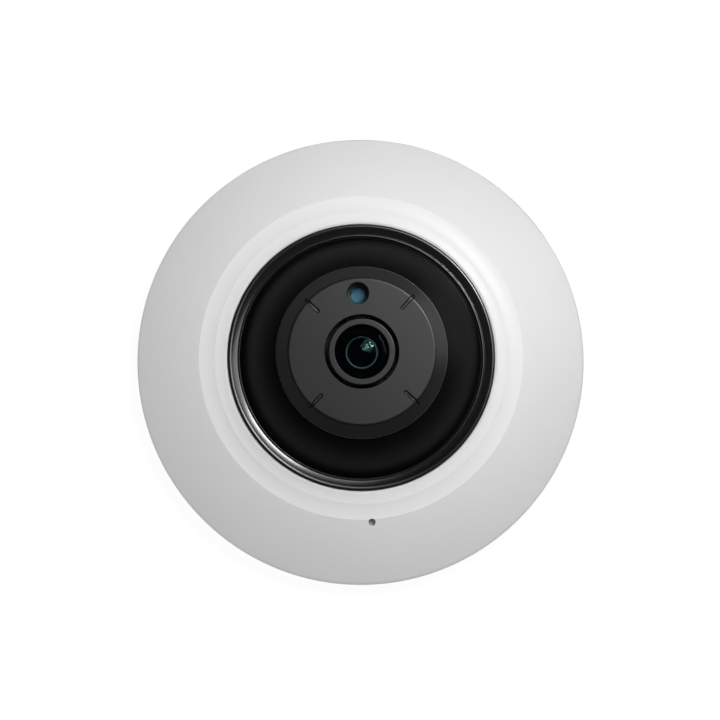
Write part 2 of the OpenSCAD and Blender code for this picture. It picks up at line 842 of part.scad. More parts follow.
module network_transformer() {
    color("#26272a")
    box(transformer_x - transformer_size[0] / 2, transformer_y - transformer_size[1] / 2,
        board_top + seat, transformer_size[0], transformer_size[1], transformer_size[2]);
}

module network_jack() {
    middle = (jack_y[0] + jack_y[1]) / 2;
    plug_z = jack_z[0] + plug_floor;
    color("#1b1c1e")
    difference() {
        box(jack_x[0], jack_y[0], jack_z[0], jack_x[1] - jack_x[0], jack_y[1] - jack_y[0],
            jack_z[1] - jack_z[0]);
        box(jack_x[1] - plug_l, middle - plug_w / 2, plug_z, plug_l + over, plug_w, plug_h);
        box(jack_x[1] - plug_l, middle - latch_w / 2, plug_z, plug_l + over, latch_w,
            plug_h + latch_h);
    }
}

module jack_contacts() {
    middle = (jack_y[0] + jack_y[1]) / 2;
    color("#c9a24b")
    for (i = [0:7])
        translate([jack_x[1] - plug_l / 4, middle + (i - 3.5) * contact_pitch,
                jack_z[0] + plug_floor + 2 * contact_r])
            rotate([0, contact_slope - 90, 0]) cylinder(r = contact_r, h = contact_l);
}

module power_jack() {
    middle = (power_y[0] + power_y[1]) / 2;
    low = board_z - power_h;
    color("#1b1c1e")
    difference() {
        box(power_x[0], power_y[0], low, power_x[1] - power_x[0], power_y[1] - power_y[0],
            power_h - seat);
        translate([power_x[1] + over, middle, low + power_h / 2]) rotate([0, -90, 0])
            cylinder(r = power_bore_r, h = power_bore_l + over);
    }
    color("#c6c8ca")
    translate([power_x[1] - power_bore_l - over, middle, low + power_h / 2]) rotate([0, 90, 0])
        cylinder(r = power_pin_r, h = power_pin_l + over);
}

module card_socket() {
    slot = [card_size[0] + over, card_size[1] + 2 * card_play, card_size[2] + 2 * card_play];
    low = board_z - socket_size[2] - seat;
    color("#b4b7ba")
    difference() {
        box(socket_x, socket_y, low, socket_size[0] + card_play, socket_size[1], socket_size[2]);
        box(socket_x - over, socket_y + (socket_size[1] - slot[1]) / 2,
            low + (socket_size[2] - slot[2]) / 2, slot[0], slot[1], slot[2]);
    }
}

module memory_card() {
    color("#27282b")
    box(socket_x - card_proud, socket_y + (socket_size[1] - card_size[1]) / 2,
        board_z - seat - (socket_size[2] + card_size[2]) / 2,
        card_size[0], card_size[1], card_size[2]);
}

module reset_switch() {
    low = board_z - switch_h;
    color("#cfd1d3")
    difference() {
        box(switch_x - switch_w / 2, switch_y - switch_w / 2, low, switch_w, switch_w,
            switch_h - seat);
        translate([switch_x, switch_y, 0])
            disc(button_r + running, low - over, button_bore_l + over);
    }
}

module reset_button() {
    top = board_z - switch_h + button_bore_l - reset_travel - button_end_gap;
    color("#2a2a2c")
    translate([switch_x, switch_y, 0]) disc(button_r, top - button_l, button_l);
}

module microphone() {
    color("#b9b9b5")
    translate([0, -mic_r, 0]) disc(mic_capsule_r, board_top + seat, mic_capsule_h);
}

module microphone_boot() {
    color("#2b2b2b")
    intersection() {
        under_cover();
        translate([0, -mic_r, 0]) difference() {
            disc(mic_boot_r, board_top + seat, step_outer_z);
            disc(mic_capsule_r + seat, board_top - over, mic_capsule_h + 2 * seat + over);
            disc(mic_hole_r, board_top, step_outer_z + over);
        }
    }
}

module sensor_board() {
    color("#1d5a3a")
    difference() {
        box(-sensor_board_x, sensor_board_y[0], sensor_board_z, 2 * sensor_board_x,
            sensor_board_y[1] - sensor_board_y[0], sensor_board_t);
        for (x = [-1, 1], y = spacer_y) translate([x * spacer_x, y, 0])
            disc(m16_r + seat, sensor_board_z - over, sensor_board_t + 2 * over);
        for (x = [-1, 1]) translate([x * holder_screw_x, holder_screw_y, 0])
            disc(m16_r + loose, sensor_board_z - over, sensor_board_t + 2 * over);
    }
}

module sensor_spacers() {
    color("#c2a75a")
    for (x = [-1, 1], y = spacer_y) translate([x * spacer_x, y, 0])
        ring(spacer_r, m16_r + seat, board_top + seat, spacer_h);
}

module sensor_screws() {
    color("#9a9da0")
    for (x = [-1, 1], y = spacer_y) translate([x * spacer_x, y, 0])
        screw(m16_r, m16_head_r, m16_head_h, sensor_board_z + sensor_board_t + seat,
            sensor_board_t + spacer_h, m16_r / 2);
}

module image_sensor() {
    color("#2e3034")
    box(-sensor_size[0] / 2, -sensor_size[1] / 2, sensor_z, sensor_size[0], sensor_size[1],
        sensor_size[2]);
}

module sensor_glass() {
    color("#4d6b75")
    box(-sensor_glass_size[0] / 2, -sensor_glass_size[1] / 2, sensor_z + sensor_size[2] + seat,
        sensor_glass_size[0], sensor_glass_size[1], sensor_glass_size[2]);
}

module flex_cable() {
    bend = (spacer_h - 2 * seat) / 2;
    leg = 3;
    color("#b5772c")
    translate([-flex_w / 2, sensor_board_y[0] + leg, board_top + 2 * seat + bend])
        rotate([90, 0, 90]) linear_extrude(flex_w) {
            difference() {
                union() {
                    translate([-leg, 0]) circle(r = bend);
                    translate([-leg, -bend]) square([leg, 2 * bend]);
                }
                translate([-leg, 0]) circle(r = bend - flex_t);
                translate([-leg, flex_t - bend]) square([leg + over, 2 * (bend - flex_t)]);
            }
        }
}

module filter_base() {
    wing_in = base_wing_x - base_wall;
    color("#222325")
    difference() {
        union() {
            box(-base_x, base_y[0], sensor_z, 2 * base_x, base_y[1] - base_y[0],
                slide_floor + slide_h - sensor_z);
            box(-base_wing_x, base_y[1] - over, sensor_z, 2 * base_wing_x,
                base_wing_y - base_y[1] + over, slide_floor + slide_h - sensor_z);
        }
        box(-sensor_room[0] / 2, -sensor_room[1] / 2, sensor_z - over, sensor_room[0],
            sensor_room[1], shelf_z - sensor_z + over);
        disc(light_path_r + loose, shelf_z - over, shelf_t + 2 * over);
        box(base_wall - base_x, -frame_y - loose, slide_floor, 2 * (base_x - base_wall),
            2 * (frame_y + loose), slide_h + over);
        box(-wing_in, frame_y, slide_floor, 2 * wing_in, base_wing_y - base_wall - frame_y,
            slide_h + over);
        difference() {
            box(-wing_in, base_y[1], magnet_z - loose, 2 * wing_in,
                base_wing_y - base_wall - base_y[1], slide_floor);
            translate([0, rotor_y, 0]) disc(shaft_r, sensor_z, lid_z - sensor_z - seat);
        }
        for (x = [-1, 1]) translate([x * holder_screw_x, holder_screw_y, 0])
            disc(m16_r + loose, sensor_z - over, slide_floor);
    }
}

module filter_lid() {
    color("#222325")
    difference() {
        box(-base_x, base_y[0], lid_z, 2 * base_x, lid_y - base_y[0], lid_t);
        disc(light_path_r + loose, lid_z - over, lid_t + 2 * over);
        for (x = [-1, 1]) translate([x * holder_screw_x, holder_screw_y, 0])
            disc(m16_r + loose, lid_z - over, lid_t + 2 * over);
    }
}

module filter_yoke() {
    left = -pole_x - yoke_t;
    core_x = coil_x - yoke_t / 2;
    bar_y = [coil_y[0] - seat - yoke_t, coil_y[1] + 2 * seat];
    color("#8d9194")
    union() {
        box(left, bar_y[0], yoke_z, yoke_t, bar_y[1] + yoke_t / 2 - bar_y[0], yoke_t);
        box(left, bar_y[1], yoke_z, core_x + yoke_t - left, yoke_t / 2, yoke_t);
        box(core_x, bar_y[0], yoke_z, yoke_t, bar_y[1] + yoke_t / 2 - bar_y[0], yoke_t);
        box(pole_x, bar_y[0], yoke_z, core_x - pole_x + seat, yoke_t, yoke_t);
        box(pole_x, bar_y[0], yoke_z, yoke_t, rotor_y + magnet_r - bar_y[0] - yoke_t, yoke_t);
    }
}

module filter_coil() {
    color("#a8622b")
    translate([coil_x, coil_y[0], yoke_z + yoke_t / 2]) rotate([-90, 0, 0])
        difference() {
            cylinder(r = coil_r, h = coil_y[1] - coil_y[0]);
            translate([0, 0, -over])
                cylinder(r = coil_bore_share * yoke_t + seat, h = coil_y[1] - coil_y[0] + 2 * over);
        }
}

module filter_frame() {
    length = filter_travel + 2 * frame_end;
    middle = -filter_travel / 2;
    slot_low = rotor_y - arm_l - arm_pin_r - slot_play;
    slot_high = pin_rest[1] + arm_pin_r + slot_play;
    color("#17181a")
    difference() {
        union() {
            box(-filter_travel - frame_end, -frame_y, frame_z, length, 2 * frame_y, frame_t);
            box(pin_rest[0] - tab_w / 2, frame_y - over, frame_z, tab_w,
                slot_high + arm_pin_r - frame_y + over, frame_t);
        }
        for (x = [0, -filter_travel]) {
            translate([x, 0, 0]) disc(light_path_r, frame_z - over, frame_t + 2 * over);
            box(x - filter_w / 2, -filter_w / 2, frame_z + frame_t - filter_glass_t - seat, filter_w,
                filter_w, frame_t);
        }
        box(middle - arm_pin_r - slot_play, slot_low, frame_z - over, 2 * (arm_pin_r + slot_play),
            slot_high - slot_low, frame_t + 2 * over);
    }
}

module filter_pane(x) {
    side = filter_w - 2 * seat;
    box(x - side / 2, -side / 2, frame_z + frame_t - filter_glass_t, side, side,
        filter_glass_t - seat);
}

module ir_cut_filter() {
    color("#5f8fa0") filter_pane(0);
}

module clear_filter() {
    color("#a9bcc4") filter_pane(-filter_travel);
}

module filter_rotor() {
    color("#6c7074")
    difference() {
        union() {
            translate([0, rotor_y, 0]) {
                disc(magnet_r, magnet_z, magnet_h + seat);
                disc(arm_hub_r, arm_z, arm_t);
                rotate(-90 - rotor_swing / 2) {
                    box(0, -arm_w / 2, arm_z, arm_l, arm_w, arm_t);
                    translate([arm_l, 0, 0]) {
                        disc(arm_w / 2, arm_z, arm_t);
                        disc(arm_pin_r, frame_z + seat, arm_z - frame_z);
                    }
                }
            }
        }
        translate([0, rotor_y, 0])
            disc(shaft_r + fine_running, magnet_z - over, magnet_h + arm_t + 2 * over);
    }
}

module lens_holder() {
    color("#26282a")
    difference() {
        union() {
            box(-base_x, base_y[0], holder_z, 2 * base_x, holder_y - base_y[0], holder_base_t);
            disc(holder_tube_r, holder_z + seat, holder_tube_top - holder_z - seat);
        }
        disc(neck_r + 2 * seat, holder_z - over, holder_tube_top);
        for (x = [-1, 1]) translate([x * holder_screw_x, holder_screw_y, 0])
            disc(m16_r + seat, holder_z - over, holder_base_t + over - seat);
    }
}

module holder_screws() {
    color("#9a9da0")
    for (x = [-1, 1]) translate([x * holder_screw_x, holder_screw_y, sensor_board_z - seat])
        rotate([180, 0, 0])
            screw(m16_r, m16_head_r, m16_head_h, 0, holder_z + holder_base_t / 2 - sensor_board_z,
                m16_r / 2);
}

module lens_lock_nut() {
    color("#2b2d30")
    difference() {
        ring(nut_r, neck_r + 2 * seat, holder_tube_top + seat, nut_t);
        for (i = [0:nut_notches - 1]) rotate(i * 360 / nut_notches)
            box(nut_r - nut_notch_depth, -nut_notch_w / 2, holder_tube_top, nut_r, nut_notch_w,
                nut_t + over);
    }
}

module lens_barrel() {
    color("#1f2022")
    rotate_extrude() polygon([
        [group_lip_r, barrel_bottom], [neck_r, barrel_bottom], [neck_r, head_z], [head_r, head_z],
        [head_r, barrel_top], [glass_edge_r + seat, barrel_top], [glass_edge_r + seat, glass_seat_z],
        [second_r, glass_seat_z], [second_r, second_seat_z], [group_r, second_seat_z],
        [group_r, group_bottom], [group_lip_r, group_bottom]
    ]);
}

module lens_ring() {
    rim = lens_ring_edge;
    lip_in = lens_ring_in_r;
    clear_r = glass_edge_r + glass_play;
    color("#35373a")
    rotate_extrude() polygon([
        [clear_r, barrel_top + seat], [lens_ring_r, barrel_top + seat],
        [lens_ring_r, lens_ring_top - rim], [lens_ring_r - rim, lens_ring_top],
        [lip_in + rim, lens_ring_top], [lip_in, lens_ring_top - rim],
        [clear_r, lens_ring_top - 4 * rim]
    ]);
}

module front_element() {
    hollow_z = lens_top_z - glass_middle_t - glass_hollow_r;
    color("#28363c")
    difference() {
        intersection() {
            translate([0, 0, glass_centre_z]) sphere(r = glass_face_r);
            disc(glass_edge_r, glass_seat_z + seat, lens_top_z);
        }
        translate([0, 0, hollow_z]) sphere(r = glass_hollow_r);
    }
}

module front_spacer() {
    top = glass_seat_z - seat;
    edge = spacer_ring_edge;
    color("#6d7274")
    rotate_extrude() polygon([
        [spacer_ring_r + edge, top - spacer_ring_h], [second_r - seat, top - spacer_ring_h],
        [second_r - seat, top], [spacer_ring_r + edge, top],
        [spacer_ring_r, top - edge], [spacer_ring_r, top - spacer_ring_h + edge]
    ]);
}

module second_element() {
    top = glass_seat_z - spacer_ring_h - 2 * seat;
    dip = second_top_face_r - sqrt(second_top_face_r ^ 2 - second_hollow_r ^ 2);
    rise = second_bottom_face_r - sqrt(second_bottom_face_r ^ 2 - second_hollow_r ^ 2);
    color("#2b3f46")
    difference() {
        disc(second_r - seat, second_seat_z + seat, top - second_seat_z - seat);
        translate([0, 0, top - dip + second_top_face_r]) sphere(r = second_top_face_r);
        translate([0, 0, second_seat_z + rise - second_bottom_face_r])
            sphere(r = second_bottom_face_r);
    }
}

module aperture_stop() {
    color("#0d0d0e")
    ring(group_r - seat, stop_hole_r, stop_z, stop_t);
}

module third_element() {
    low = stop_z + stop_t + seat;
    color("#2b3f46")
    intersection() {
        disc(group_r - seat, low, second_seat_z - low - seat);
        translate([0, 0, low + third_face_r]) sphere(r = third_face_r);
        translate([0, 0, second_seat_z - seat - third_face_r]) sphere(r = third_face_r);
    }
}

module rear_element() {
    color("#2b3f46")
    intersection() {
        disc(group_r - seat, group_bottom + seat, stop_z - group_bottom - 2 * seat);
        translate([0, 0, stop_z - seat - rear_face_r]) sphere(r = rear_face_r);
    }
}

module ir_board() {
    color("#1d5a3a")
    difference() {
        ring(ir_board_out_r, ir_board_in_r, ir_board_z, ir_board_t);
        around(ir_boss_circle, ir_boss_angles)
            disc(m16_r + loose, ir_board_z - over, ir_board_t + 2 * over);
    }
}

module ir_board_screws() {
    color("#9a9da0")
    around(ir_boss_circle, ir_boss_angles)
        screw(m16_r, m16_head_r, m16_head_h, ir_board_z + ir_board_t + seat,
            ir_board_t + ir_boss_h, m16_r / 2);
}

module ir_leds() {
    low = ir_board_z + ir_board_t + seat;
    color("#e8e3c9")
    around(led_circle, led_angles) {
        box(-led_w / 2, -led_w / 2, low, led_w, led_w, led_h);
        difference() {
            translate([0, 0, low + led_h - seat]) sphere(r = led_dome_r);
            disc(led_w, low - led_dome_r - over, led_dome_r + over + led_h / 2);
        }
    }
}

module light_sensor() {
    color("#1d6f8e")
    translate([0, light_sensor_y, 0]) {
        disc(photocell_r, sensor_tip_z - photocell_h, photocell_h);
        for (x = [-1, 1]) translate([x * lead_x, 0, 0])
            disc(lead_r, board_z, sensor_tip_z - photocell_h - board_z + seat);
    }
}

module light_sensor_sleeve() {
    color("#242526")
    translate([0, light_sensor_y, 0])
        ring(light_hole_r - seat, photocell_r + seat, sensor_tip_z - photocell_h + sleeve_overlap,
            photocell_h + 2 * sleeve_overlap);
}

mounting_plate();
lock_studs();
back_housing();
front_cover();
cover_gasket();
cover_screws();
bezel_ring();
window();
window_gasket();
light_seal();
lens_turret();
turret_screws();
chassis();
chassis_screws();
main_board();
board_screws();
processor();
thermal_pad();
memory_chips();
network_transformer();
network_jack();
jack_contacts();
power_jack();
card_socket();
reset_switch();
microphone();
microphone_boot();
sensor_board();
sensor_spacers();
sensor_screws();
image_sensor();
sensor_glass();
flex_cable();
filter_base();
filter_lid();
filter_yoke();
filter_coil();
lens_holder();
holder_screws();
lens_lock_nut();
lens_barrel();
lens_ring();
front_element();
front_spacer();
second_element();
aperture_stop();
third_element();
rear_element();
ir_board();
ir_board_screws();
ir_leds();
light_sensor();
light_sensor_sleeve();
filter_frame();
ir_cut_filter();
clear_filter();
filter_rotor();
reset_button();
memory_card();
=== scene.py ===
"""Looks of a round, surface-mounted fisheye network camera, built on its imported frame."""
import math

import bmesh
import bpy
from mathutils import Matrix, Vector


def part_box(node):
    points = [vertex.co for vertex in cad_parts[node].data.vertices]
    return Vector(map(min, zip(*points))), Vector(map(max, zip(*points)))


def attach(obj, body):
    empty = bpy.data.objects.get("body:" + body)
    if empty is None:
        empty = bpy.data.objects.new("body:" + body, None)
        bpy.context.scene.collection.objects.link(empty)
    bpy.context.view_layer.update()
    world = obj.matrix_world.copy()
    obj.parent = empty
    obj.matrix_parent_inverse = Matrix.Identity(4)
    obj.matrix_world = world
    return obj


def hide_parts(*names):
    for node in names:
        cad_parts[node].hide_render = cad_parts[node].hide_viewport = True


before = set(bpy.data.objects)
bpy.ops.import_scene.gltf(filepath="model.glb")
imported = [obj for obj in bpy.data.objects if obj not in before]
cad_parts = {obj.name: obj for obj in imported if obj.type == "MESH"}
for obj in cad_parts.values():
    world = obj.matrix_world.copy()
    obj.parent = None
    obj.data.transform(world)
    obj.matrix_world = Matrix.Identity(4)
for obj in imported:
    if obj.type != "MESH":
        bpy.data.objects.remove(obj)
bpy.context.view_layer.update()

# Camera. It stands a metre over the part and looks almost straight down the lens axis, tipped and
# rolled by a few degrees, as a product on a copy stand is seen.
MM = 0.001
camera_tip = math.radians(85.66)
camera_turn = math.radians(-10.5)
camera_roll = math.radians(86.2)
camera_distance, lens_length = 1.0, 185.9
camera_slide = (-0.175 * MM, 0.444 * MM)
rim_height = 3.5 * MM

back = Vector((math.sin(camera_turn) * math.cos(camera_tip),
               -math.cos(camera_turn) * math.cos(camera_tip), math.sin(camera_tip)))
right = Vector((math.cos(camera_roll), math.sin(camera_roll), 0)).cross(back).normalized()
up = back.cross(right)
camera = bpy.data.objects.new("camera", bpy.data.cameras.new("camera"))
camera.data.lens = lens_length
camera.data.clip_start = 0.01
camera.matrix_world = (
    Matrix.Translation(Vector((0, 0, rim_height)) + back * camera_distance
                       + right * camera_slide[0] + up * camera_slide[1])
    @ Matrix((right, up, back)).transposed().to_4x4())
bpy.context.scene.collection.objects.link(camera)
bpy.context.scene.camera = camera

# Front cover. A white polycarbonate shell, moulded in one piece, with a rolled outer edge, two fine
# stepped rings round its opening and a drilled hole for the microphone. Three screws from behind
# hold it to the housing.
weld, hard_angle = 0.002, math.radians(50)


def span(node):
    """Lowest and highest corner of a node of the frame, in millimetres."""
    low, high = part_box(node)
    return low / MM, high / MM


def arc(centre, radius, start, end, steps):
    """Points on a circle round centre, from one angle to another, in radians."""
    angles = [start + (end - start) * i / steps for i in range(steps + 1)]
    return [(centre[0] + radius * math.cos(a), centre[1] + radius * math.sin(a)) for a in angles]


def bulge(p, q, turn):
    """Centre and radius of the arc from p up to q that turns by an angle either side of its chord."""
    chord = math.atan2(q[1] - p[1], p[0] - q[0])
    radius = math.dist(p, q) / (2 * math.sin(turn))
    depth = radius * math.cos(turn)
    return ((p[0] + q[0]) / 2 - depth * math.sin(chord),
            (p[1] + q[1]) / 2 - depth * math.cos(chord)), radius


def bearing(centre, point):
    """Angle at which a point is seen from a centre."""
    return math.atan2(point[1] - centre[1], point[0] - centre[0])


def rounded(corners, steps=4, hold=0.06, most=0.45):
    """An outline of (radius, height) points, with an arc at each corner that names a third value, its
    radius. An arc takes at most a share of the sides beside it, and a point held just before and after
    it keeps the faces there flat."""
    line = []
    for i, corner in enumerate(corners):
        here = Vector(corner[:2])
        if len(corner) == 2:
            line.append(tuple(here))
            continue
        before = Vector(corners[i - 1][:2]) - here
        after = Vector(corners[(i + 1) % len(corners)][:2]) - here
        half = before.angle(after) / 2
        reach = min(corner[2] / math.tan(half), before.length * most, after.length * most)
        radius = reach * math.tan(half)
        centre = here + (before.normalized() + after.normalized()).normalized() * (radius / math.sin(half))
        start, end = here + before.normalized() * reach, here + after.normalized() * reach
        a = bearing(centre, start)
        sweep = (bearing(centre, end) - a + math.pi) % math.tau - math.pi
        if before.length > reach + 3 * hold:
            line.append(tuple(start + before.normalized() * hold))
        line += arc(centre, radius, a, a + sweep, steps)
        if after.length > reach + 3 * hold:
            line.append(tuple(end + after.normalized() * hold))
    return line


def turned(outline, steps=192, on_axis=False):
    """Spins an outline of (radius, height) points once round the lens axis. An outline that starts and
    ends on the axis stays open there."""
    shape = bmesh.new()
    line = [shape.verts.new((p[0], 0, p[1])) for p in outline]
    for a, b in zip(line, line[1:] if on_axis else line[1:] + line[:1]):
        shape.edges.new((a, b))
    bmesh.ops.spin(shape, geom=shape.verts[:] + shape.edges[:], cent=(0, 0, 0), axis=(0, 0, 1),
                   angle=math.tau, steps=steps, use_merge=True)
    bmesh.ops.remove_doubles(shape, verts=shape.verts, dist=weld / 4)
    bmesh.ops.recalc_face_normals(shape, faces=shape.faces)
    return shape


def rod(radius, low, high, x=0, y=0, sides=48):
    """An upright cylinder between two heights, to fuse to a shape or to cut out of it."""
    shape = bmesh.new()
    bmesh.ops.create_cone(shape, cap_ends=True, segments=sides, radius1=radius, radius2=radius,
                          depth=high - low)
    bmesh.ops.translate(shape, verts=shape.verts, vec=(x, y, (low + high) / 2))
    return shape


def round_the_axis(make_shape, circle_r, angles):
    """One shape for each angle, made at circle_r on the X axis and turned to its place."""
    shapes = [make_shape(circle_r) for _ in angles]
    for shape, angle in zip(shapes, angles):
        bmesh.ops.rotate(shape, verts=shape.verts, cent=(0, 0, 0),
                         matrix=Matrix.Rotation(math.radians(angle), 3, "Z"))
    return shapes


def piece(name, shape, adds=(), cuts=(), edge=0, crease=34):
    """Makes an object of a shape drawn in millimetres. Adds are fused to it and cuts come out of it,
    edge rounds the edges that are then still sharp, and crease is the angle past which an edge shows."""
    def laid_out(label, drawn):
        mesh = bpy.data.meshes.new(label)
        drawn.to_mesh(mesh)
        drawn.free()
        item = bpy.data.objects.new(label, mesh)
        bpy.context.scene.collection.objects.link(item)
        return item

    made = laid_out(name, shape)
    tools = []
    for operation, shapes in (("UNION", adds), ("DIFFERENCE", cuts)):
        for drawn in shapes:
            tools.append(laid_out("tool", drawn))
            step = made.modifiers.new(operation, "BOOLEAN")
            step.operation, step.solver, step.object = operation, "EXACT", tools[-1]
    drawn = bmesh.new()
    drawn.from_object(made, bpy.context.evaluated_depsgraph_get())
    made.modifiers.clear()
    for tool in tools:
        bpy.data.objects.remove(tool)
    if tools:
        bmesh.ops.remove_doubles(drawn, verts=drawn.verts, dist=weld)
        bmesh.ops.dissolve_degenerate(drawn, edges=drawn.edges, dist=weld / 2)
    if edge:
        hard = [e for e in drawn.edges if len(e.link_faces) == 2 and e.calc_face_angle(0) > hard_angle]
        bmesh.ops.bevel(drawn, geom=hard, offset=edge, segments=2, profile=0.5, affect="EDGES",
                        material=-1, clamp_overlap=True)
        even = made.modifiers.new("even normals", "WEIGHTED_NORMAL")
        even.keep_sharp, even.weight = True, 100
    bmesh.ops.scale(drawn, verts=drawn.verts, vec=(MM, MM, MM))
    for face in drawn.faces:
        face.smooth = True
    drawn.to_mesh(made.data)
    drawn.free()
    made.data.set_sharp_from_angle(angle=math.radians(crease))
    return made


def add_node(tree, kind, inputs=(), **settings):
    """A node with its settings, and with a value or another node's socket at each named input."""
    made = tree.nodes.new(kind)
    for key, value in settings.items():
        setattr(made, key, value)
    for socket, value in dict(inputs).items():
        if isinstance(value, bpy.types.NodeSocket):
            tree.links.new(value, made.inputs[socket])
        else:
            made.inputs[socket].default_value = value
    return made


def maths(tree, operation, *values, **settings):
    """The result of a Math node that works on values or sockets."""
    made = add_node(tree, "ShaderNodeMath", dict(enumerate(values)), operation=operation, **settings)
    return made.outputs[0]


def object_place(tree):
    """Place on the object, in metres."""
    return add_node(tree, "ShaderNodeTexCoord").outputs["Object"]


def surface_group(name, mark, values, pattern):
    """A shader group for a worked surface, whose colour and gloss drift together and whose relief has
    its size and depth in millimetres. The pattern gives the sockets of the drift and of the relief."""
    tree = bpy.data.node_groups.new(name, "ShaderNodeTree")
    colour = tree.interface.new_socket(name="Colour", in_out="INPUT", socket_type="NodeSocketColor")
    colour.default_value = (0.5, 0.5, 0.5, 1)
    for label, value in zip(("Drift", "Gloss", "Gloss Drift", mark + " Size", mark + " Depth"), values):
        socket = tree.interface.new_socket(name=label, in_out="INPUT", socket_type="NodeSocketFloat")
        socket.default_value = value
    for label, kind in (("Base Color", "Color"), ("Roughness", "Float"), ("Normal", "Vector")):
        tree.interface.new_socket(name=label, in_out="OUTPUT", socket_type="NodeSocket" + kind)
    given = add_node(tree, "NodeGroupInput").outputs
    drift, height = pattern(tree, object_place(tree), maths(tree, "DIVIDE", 1 / MM, given[mark + " Size"]))
    level = maths(tree, "SUBTRACT", drift, 0.5)
    shade = maths(tree, "MULTIPLY_ADD", level, given["Drift"], 1.0)
    tone = add_node(tree, "ShaderNodeHueSaturation", {"Value": shade, "Color": given["Colour"]})
    relief = add_node(tree, "ShaderNodeBump", {
        "Height": height, "Distance": maths(tree, "MULTIPLY", given[mark + " Depth"], MM), "Strength": 1.0})
    add_node(tree, "NodeGroupOutput", {
        "Base Color": tone.outputs[0], "Normal": relief.outputs[0],
        "Roughness": maths(tree, "MULTIPLY_ADD", level, given["Gloss Drift"], given["Gloss"])})
    return tree


def mould_grain(tree, place, per_size):
    """Fine pits of the mould's texture, and a drift over centimetres."""
    fine = add_node(tree, "ShaderNodeVectorMath", {0: place, "Scale": per_size}, operation="SCALE")
    pits = add_node(tree, "ShaderNodeTexNoise", {"Vector": fine.outputs[0], "Scale": 1.0, "Detail": 2.0})
    broad = add_node(tree, "ShaderNodeTexNoise", {"Vector": place, "Scale": 70.0, "Detail": 3.0})
    return broad.outputs[0], pits.outputs[0]


def base_material(name, shader):
    """A new material, its node tree and its shader, whose sockets are set by name."""
    made = bpy.data.materials.new(name)
    made.use_nodes = True
    surface = made.node_tree.nodes["Principled BSDF"]
    for socket, value in shader.items():
        surface.inputs[socket.replace("_", " ")].default_value = value
    return made, made.node_tree, surface


def finish(name, group, values, **shader):
    """A material whose pattern comes from a group, and whose even settings are the shader's own."""
    made, tree, surface = base_material(name, shader)
    pattern = add_node(tree, "ShaderNodeGroup", values, node_tree=group)
    for socket in pattern.outputs:
        tree.links.new(socket, surface.inputs[socket.name])
    return made


def dressed(item, material, node=None, body="camera"):
    """Gives a piece its material and the body that it rides on, and hides the node that it stands for."""
    item.data.materials.append(material)
    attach(item, body)
    if node:
        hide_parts(node)


moulded = surface_group("moulded grain", "Grain", (0.06, 0.4, 0.06, 0.3, 0.01), mould_grain)

cover_low, cover_high = span("front_cover")
cover_r, cover_wall, cover_ceiling = cover_high.x, 2.0, 16.5
edge_foot, side_top, edge_round, dome_bulge = 0.75, 4.6, 2.0, math.radians(5.4)
outer_step, inner_step, lip = (43.0, 18.2), (38.8, 18.9), (36.1, cover_high.z)
opening_r, lip_t, ledge_top, ledge_in_r, ledge_t = 35.5, 0.23, 16.2, 32.4, 1.6
screw_circle, screw_angles = 51.5, (90, 210, 330)
boss_r, boss_low, boss_bore_r, boss_bore_top = 3.0, 5.22, 1.27, 9.9
mic_y, mic_hole_r, mic_hole_ends = -43.7, 0.95, (12, 20)

roll = (cover_r - edge_round, side_top)
reach = math.dist(roll, outer_step)
dome_chord = edge_round * math.sin(dome_bulge) + math.sqrt(
    reach ** 2 - (edge_round * math.cos(dome_bulge)) ** 2)
roll_turn = bearing(roll, outer_step) - math.acos((edge_round - dome_chord * math.sin(dome_bulge)) / reach)
dome_start = (roll[0] + edge_round * math.cos(roll_turn), roll[1] + edge_round * math.sin(roll_turn))
dome_centre, dome_r = bulge(dome_start, outer_step, dome_bulge)


def step_ring(edge, next_edge, steps=10, power=2.6):
    """A stepped ring: level behind its edge, then rising ever faster to the next edge."""
    width, rise = edge[0] - next_edge[0], next_edge[1] - edge[1]
    return [(edge[0] - width * i / steps, edge[1] + rise * (i / steps) ** power) for i in range(1, steps)]


def dome_height(radius, reach):
    """Height of the dome's surface, or of one inside it, at a distance from the axis."""
    return dome_centre[1] + math.sqrt((dome_r - reach) ** 2 - (radius - dome_centre[0]) ** 2)


outside = arc(dome_centre, dome_r, bearing(dome_centre, dome_start), bearing(dome_centre, outer_step), 26)
ceiling_reach = math.sqrt((dome_r - cover_wall) ** 2 - (cover_ceiling - dome_centre[1]) ** 2)
ceiling = (dome_centre[0] + ceiling_reach, cover_ceiling)
inside = arc(dome_centre, dome_r - cover_wall, bearing(dome_centre, ceiling),
             bearing(dome_centre, dome_start), 20)
cover_outline = (
    [(cover_r - edge_foot, cover_low.z, 0.2), (cover_r, cover_low.z + edge_foot, 0.4), (cover_r, side_top)]
    + arc(roll, edge_round, 0, roll_turn, 8)[1:-1]
    + outside[:-1] + [(*outer_step, 0.14)] + step_ring(outer_step, inner_step)
    + [(*inner_step, 0.12)] + step_ring(inner_step, lip) + [(*lip, 0.12)]
    + [(opening_r, lip[1] - lip_t, 0.12), (opening_r, ledge_top), (ledge_in_r, ledge_top, 0.2),
       (ledge_in_r, ledge_top - ledge_t), (opening_r + cover_wall, ledge_top - ledge_t), ceiling]
    + inside[1:] + [(cover_r - cover_wall, side_top), (cover_r - cover_wall, cover_low.z)])


def cover_boss(circle_r):
    """A screw boss under the dome, ending inside the cover's wall."""
    shape = rod(boss_r, boss_low, boss_bore_top, circle_r)
    for vert in shape.verts:
        if vert.co.z > side_top + edge_round:
            vert.co.z = dome_height(math.hypot(vert.co.x, vert.co.y), cover_wall / 2)
    return shape


